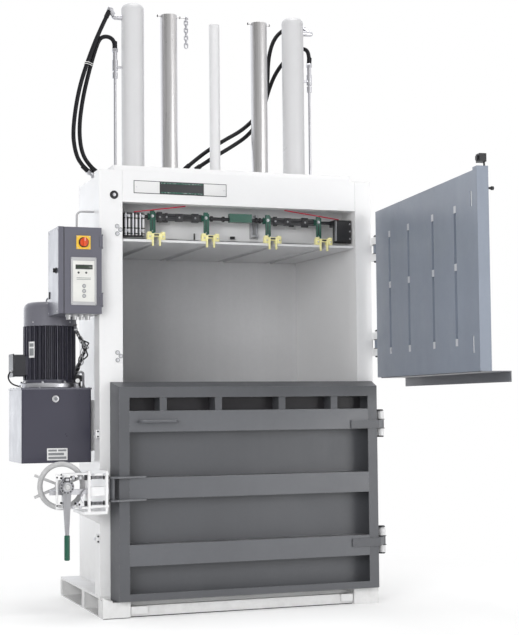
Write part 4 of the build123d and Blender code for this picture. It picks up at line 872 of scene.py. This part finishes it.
# Rings and loose strands on the control cable
bm = bmesh.new()
route = along_spline(ROUTES["control_cable"][0])
for number in range(2, len(route) - 1, 2):
    lathe(bm, tuple(route[number]), [(5.2, -3.5), (8.4, -3), (8.8, 0), (8.4, 3), (5.2, 3.5)],
          basis=toward(route[number + 1] - route[number - 1]), segments=18, index=number // 2 % 2)
for aside, fore, sway, phase, thick, tone in ((11, -13, 9, 0.4, 3.4, 1), (-9, -12, 8, 2.1, 2.8, 1),
                                              (3, -17, 11, 3.9, 2.4, 0), (-14, -6, 5, 5.2, 2.2, 0)):
    strand = []
    for number, spot in enumerate(route[3:-4]):
        share = math.sin(math.pi * number / (len(route) - 8))
        swing = sway * math.sin(number * 0.55 + phase)
        strand.append((spot.x + (aside + swing) * share, spot.y + fore * share,
                       spot.z + 0.6 * sway * math.cos(number * 0.4 + phase) * share))
    rod(bm, strand, thick, 10, index=tone)
make("cable_loom", bm, [bezel_grey, black])

# Operating panel: face, display, keys and bare lines
bm = bmesh.new()
block(bm, -839, -738, PANEL - 0.2, PANEL + 1.4, 1450.5, 1639.5, 0.4)
block(bm, -827, -747, PANEL - 1, PANEL + 0.2, 1600, 1621, 0.4, index=1)
block(bm, -823, -751, PANEL - 1.3, PANEL - 0.6, 1604, 1617, 0.2, index=2)
for x in (-813, -777):
    disc(bm, (x, PANEL, 1584), 5, -1, "y", 20, 1)
for z in (1523, 1500, 1477):
    cap(bm, (-787, PANEL, z), (9, -0.9), (8, -1.3), "y", 28, 3)
    disc(bm, (-787, PANEL - 1.2, z), 6, -0.5, "y", 24, 4)
for z in (1560, 1553):
    block(bm, -822, -756, PANEL - 0.6, PANEL - 0.1, z - 1.2, z + 1.2, 0.1, steps=1, index=3)
for x in (-844, -733):
    for z in (1440, 1650):
        dome(bm, (x, PANEL - 1, z), AHEAD, 2.2, 1.4, index=3, socket=False)
make("panel_membrane", bm, [panel_face, ink_dark, glass, ink_grey, bezel_grey], "cabinet_door")

# Ring around the main switch, screws of its plate, and the mark on its knob
bm = bmesh.new()
ring = [(0, 0), (24, 0), (24, -1.6), (21, -2.4), (19.6, -2.4), (19.6, 0)]
lathe(bm, (SWITCH_X, PANEL - 3.5, SWITCH_Z), ring, "y", 40)
for x in (SWITCH_X - 28, SWITCH_X + 28):
    for z in (SWITCH_Z - 26, SWITCH_Z + 26):
        dome(bm, (x, PANEL + 1, z), AHEAD, 2.8, 1.6, index=1, socket=False)
make("switch_ring", bm, [black, zinc], "cabinet_door")
bm = bmesh.new()
block(bm, SWITCH_X - 1.2, SWITCH_X + 1.2, PANEL - 31.6, PANEL - 30.6, SWITCH_Z + 4, SWITCH_Z + 18, 0.3)
make("switch_mark", bm, ink_pale, "switch")

# Side plate, door seal, round plug and screws of the cabinet
bm = bmesh.new()
block(bm, CABINET_LEFT - 4, CABINET_LEFT + 0.5, -268, -254, 1474, 1508, 1.5)
block(bm, -881.2, -877.8, -455.5, -454, 1397.5, 1794.5, 0.3, steps=1)
cap(bm, (CABINET_LEFT, -412, 1596), (14, -2.5), (12, -4), basis=toward(RIGHT))
for y in (-430, -240):
    for z in (1408, 1784):
        dome(bm, (CABINET_LEFT, y, z), LEFT, 3.4, 2.2, index=1)
for x in (-892, -716):
    for y in (-425, -243):
        dome(bm, (x, y, CABINET_TOP), UP, 3.4, 2.2, index=1)
make("cabinet_fittings", bm, [black, zinc])

# Thin pipe from the top of the cabinet to the pillar
bm = bmesh.new()
hook = [(-780, -278, CABINET_TOP - 2), *arc((-756, -278, 1868), 180, 90, 24), (-700, -278, 1893),
        (-606, -278, 1895)]
rod(bm, hook, 5)
cap(bm, (-780, -278, CABINET_TOP - 1), (12, 5), (8, 12), "z", 20, 1)
make("cabinet_hook", bm, [bezel_grey, black])

# Bare plates with grey bars on the tank and on the motor
bm = bmesh.new()
block(bm, -918, -821, TANK_FRONT - 1.4, TANK_FRONT + 0.2, 721, 777, 0.5)
for x0, x1, z0, z1 in ((-912, -872, 762, 771), (-866, -827, 762, 771), (-912, -838, 744, 756),
                       (-912, -827, 727, 738)):
    block(bm, x0, x1, TANK_FRONT - 1.9, TANK_FRONT - 1.2, z0, z1, 0.15, steps=1, index=1)
make("tank_plate", bm, [ink_pale, ink_grey])
bm = bmesh.new()
block(bm, -17, 17, -1, 1, -38, 38, 0.4)
for z0, z1 in ((14, 30), (-28, 6)):
    block(bm, -13, 13, -1.5, -0.8, z0, z1, 0.2, index=1)
for x in (-13, 13):
    for z in (-34, 34):
        dome(bm, (x, -1, z), AHEAD, 1.8, 1, index=2, socket=False)
PLATE_ANGLE = 217.5
angle = math.radians(PLATE_ANGLE)
spot = Vector((MOTOR_X + 127 * math.cos(angle), MOTOR_Y + 127 * math.sin(angle), 1241)) * MM
turn = Matrix.Rotation(math.radians(PLATE_ANGLE - 270), 4, "Z")
bmesh.ops.transform(bm, matrix=Matrix.Translation(spot) @ turn, verts=bm.verts)
make("motor_plate", bm, [ink_pale, ink_grey, zinc])

# Screws of the tank's lid, the motor, its flange and cowl, and the sight glass
bm = bmesh.new()
for x in (-1026, -950, -871, -795, -716):
    for y in (-249, 71):
        dome(bm, (x, y, LID), UP, 5, 3.6)
for y in (-170, -89, -8):
    for x in (-1028, -714):
        dome(bm, (x, y, LID), UP, 5, 3.6)
for number, (x, y) in enumerate(around(MOTOR_X, MOTOR_Y, 137, 8, 20)):
    bolt(bm, (x, y, FLANGE_TOP), UP, 10, 7, turn=number * 0.7)
for y in (-135, -43):
    for z in (1121, 1213):
        dome(bm, (BOX_LEFT, y, z), LEFT, 3.6, 2.6)
for x, y in around(MOTOR_X, MOTOR_Y, 123, 4, 40):
    dome(bm, (x, y, 1372), (x - MOTOR_X, y - MOTOR_Y, 0), 4.5, 3)
cap(bm, (GLASS_X, GLASS_FRONT, GLASS_Z), (9, -3), (7, -5), "y", 6, 1)
cap(bm, (GLASS_X, GLASS_FRONT + 0.5, GLASS_Z), (14, -1.4), (12.4, -1.8), "y", 32)
make("unit_fasteners", bm, [zinc, ink_grey])

# Unions, a pipe bend and a gauge on the tank's lid
bm = bmesh.new()
for x, y, tall, radius in ((-752, -178, 34, 13), (-772, -238, 22, 10), (-740, -120, 40, 11)):
    collar = [(0, 0), (radius + 4, 0), (radius + 4, 6), (radius, 8), (radius, tall), (0, tall)]
    lathe(bm, (x, y, LID), collar, segments=6)
    disc(bm, (x, y, LID + tall), radius * 0.75, 14, "z", 20)
bend = [(-752, -178, 1104), *arc((-739, -178, 1122), 180, 0, 13), (-726, -178, LID - 1)]
rod(bm, bend, 5.5)
cap(bm, (-726, -178, LID), (9, 9), (7, 11), "z", 6)
cap(bm, (-772, -246, 1092), (13, -10), (11.5, -11), "y", 28, 1)
disc(bm, (-772, -256.6, 1092), 10.5, -0.8, "y", 28, 2)
make("unit_fittings", bm, [zinc, black, ink_pale])

# Thin fins between the motor's own, clear of the terminal box
OWN_FINS = 28
bm = bmesh.new()
for number in range(OWN_FINS):
    for share in (1 / 3, 2 / 3):
        angle = 360 * (number + share) / OWN_FINS + 6
        if 160 < angle % 360 < 200:
            continue
        spin = Matrix.Rotation(math.radians(angle), 4, "Z")
        spin.translation = Vector((MOTOR_X, MOTOR_Y, 0)) * MM
        start = len(bm.verts)
        block(bm, 102, 121, -1.1, 1.1, 1100, 1352, 0.5, steps=1)
        bm.verts.ensure_lookup_table()
        bmesh.ops.transform(bm, matrix=spin, verts=bm.verts[start:])
make("motor_fins", bm, motor_paint)

# Lifting eye on the cowl
bm = bmesh.new()
rod(bm, arc((MOTOR_X, MOTOR_Y, COWL_TOP + 9), -30, 210, 15, 14), 4.5, 10)
cap(bm, (MOTOR_X, MOTOR_Y, COWL_TOP - 2), (12, 3), (6, 6), "z", 20)
make("lifting_eye", bm, zinc)

# Hub and pawl of the ratchet lever
bm = bmesh.new()
cap(bm, (WHEEL_X, RATCHET_FRONT, WHEEL_Z), (20, -4), (16, -7), "y", 32)
bolt(bm, (WHEEL_X, RATCHET_FRONT - 7, WHEEL_Z), AHEAD, 19, 9, index=1)
for x, z in around(WHEEL_X, WHEEL_Z, 26.5, 12, 8):
    disc(bm, (x, RATCHET_FRONT + 0.5, z), 3.4, -1.2, "y", 12, 2)
block(bm, -905, -879, RATCHET_FRONT - 4, RATCHET_FRONT + 0.5, 636, 656, 3, index=2)
block(bm, -900, -884, RATCHET_FRONT - 6, RATCHET_FRONT - 3, 640, 651, 1.5)
make("ratchet_cap", bm, [zinc, bright, dark_steel], "ratchet")

# Straps, screws and springs of the door lock
bm = bmesh.new()
for z in (650, 520):
    for x in (-826, -858):
        bolt(bm, (x, LOCK_FRONT, z), AHEAD, 11, 3)
for z in (520, 664):
    block(bm, -790, -694, LOCK_FRONT - 4.5, LOCK_FRONT - 1.5, z - 5, z + 5, 1.2, index=1)
for x in (-768, -716):
    bolt(bm, (x, LOCK_FRONT - 4.5, 664), AHEAD, 9, 5)
block(bm, -936, -926, LOCK_FRONT - 1, LOCK_FRONT + 8, 513, 671, 2, index=1)
for z in (513, 663):
    block(bm, -934, -886, LOCK_FRONT - 0.5, LOCK_FRONT + 7.5, z, z + 8, 2, index=1)
for x, z in ((-931, 655), (-931, 529), (-912, 667)):
    dome(bm, (x, LOCK_FRONT - 0.5, z), AHEAD, 4, 2.6, index=2)
for x, z in ((-914, 652), (-914, 542), (-868, 656), (-850, 538)):
    rod(bm, [(x, -530, z), (x + 26, -530, z - 8)], 5, index=2)
    lathe(bm, (x + 13, -530, z - 4), [(8, -5), (9.5, -4), (9.5, 4), (8, 5)], segments=18,
          basis=toward((26, 0, -8)))
for z in (650, 534):
    for x in (-776, -712):
        cap(bm, (x, STUD_Y, z), (12, 6), (10, 7), "x", 6, 2)
    for x in range(-766, -712, 6):
        lathe(bm, (x, STUD_Y, z), [(6.6, -1.4), (9.6, -0.8), (9.6, 0.8), (6.6, 1.4)], "x", 20)
rod(bm, [(-798, -540, 600), (-815, -540, 585), (-822, -540, 560), (-812, -540, 540)], 4, 10)
make("lock_hardware", bm, [zinc, white, dark_steel])

# Nut behind the handwheel
bm = bmesh.new()
cap(bm, (WHEEL_X, -433, WHEEL_Z), (15, 5), (11, 8), "y")
make("wheel_nut", bm, [zinc], "wheel")


# Light
def area_light(name, spot, target, size, power, tall=None, color=(1.0, 1.0, 1.0), glossy=True):
    data = bpy.data.lights.new(name, "AREA")
    data.shape = "RECTANGLE"
    data.size = size
    data.size_y = tall or size
    data.energy = power
    data.color = color
    lamp = bpy.data.objects.new(name, data)
    lamp.location = spot
    lamp.rotation_euler = (Vector(target) - Vector(spot)).to_track_quat("-Z", "Y").to_euler()
    lamp.visible_glossy = glossy
    scene.collection.objects.link(lamp)


area_light("key", (-4.8, -6.2, 2.4), (0, -0.3, 1.3), 3.4, 255, glossy=False)
area_light("fill", (4.2, -6.5, 1.8), (0, -0.3, 1.2), 3.2, 155)
area_light("top", (0.0, -0.6, 8.0), (0, 0, 0), 4.0, 200)
area_light("rear", (-1.9, 4.5, 1.5), (-0.9, 0, 1.3), 4.0, 37, tall=3.0, color=(0.95, 0.97, 1.0))


def studio():
    """Plain white to the camera and through glass, a soft room light, and a graded room in reflections."""
    world = bpy.data.worlds.new("studio")
    scene.world = world
    nodes = Nodes(world)
    place = nodes.add("SeparateXYZ", {0: nodes.where["Generated"]}).outputs
    behind = nodes.span(place["Y"], 0.10, 0.60)
    across = nodes.span(place["X"], -1.0, 0.7, 0.36, 0.88)
    tint = nodes.mix(behind, (1, 1, 1), (0.92, 0.945, 1.0))
    level = nodes.add("Mix", {"Factor": behind, "A": across, "B": 1.15}).outputs["Result"]
    room = nodes.add("Background", {"Color": (1, 1, 1, 1), "Strength": 0.50})
    mirror = nodes.add("Background", {"Color": tint, "Strength": level})
    plain = nodes.add("Background", {"Color": (1, 1, 1, 1)})
    ray = nodes.add("LightPath").outputs
    straight = nodes.math("MAXIMUM", ray["Is Camera Ray"], ray["Is Transmission Ray"])
    lit = nodes.add("MixShader", {0: ray["Is Glossy Ray"], 1: room.outputs[0], 2: mirror.outputs[0]})
    nodes.show(nodes.add("MixShader", {0: straight, 1: lit.outputs[0], 2: plain.outputs[0]}), "OutputWorld")


def floor():
    """A pale floor that keeps the shadow near the machine and fades to plain white away from it."""
    nodes = material("floor_finish")
    place = nodes.add("SeparateXYZ", {0: nodes.where["Object"]}).outputs
    level = nodes.add("CombineXYZ", {0: place[0], 1: place[1]}).outputs[0]
    far = nodes.add("VectorMath", {0: level}, operation="LENGTH").outputs["Value"]
    diffuse = nodes.add("BsdfDiffuse", {"Color": (0.8, 0.8, 0.8, 1)})
    glow = nodes.add("Emission", {"Color": (1, 1, 1, 1), "Strength": 0.31})
    lit = nodes.add("AddShader", {0: diffuse.outputs[0], 1: glow.outputs[0]})
    pure = nodes.add("Emission", {"Color": (1, 1, 1, 1), "Strength": 1.0})
    fading = nodes.add("MixShader", {0: nodes.span(far, 1.3, 2.4), 1: lit.outputs[0], 2: pure.outputs[0]})
    ray = nodes.add("LightPath").outputs
    seen = nodes.math("MAXIMUM", ray["Is Camera Ray"], ray["Is Glossy Ray"])
    seen = nodes.math("MAXIMUM", seen, ray["Is Transmission Ray"])
    nodes.show(nodes.add("MixShader", {0: seen, 1: diffuse.outputs[0], 2: fading.outputs[0]}))
    bm = bmesh.new()
    bmesh.ops.create_grid(bm, x_segments=4, y_segments=4, size=14)
    mesh = bpy.data.meshes.new("floor")
    bm.to_mesh(mesh)
    bm.free()
    mesh.materials.append(nodes.owner)
    plane = bpy.data.objects.new("floor", mesh)
    scene.collection.objects.link(plane)


studio()
floor()
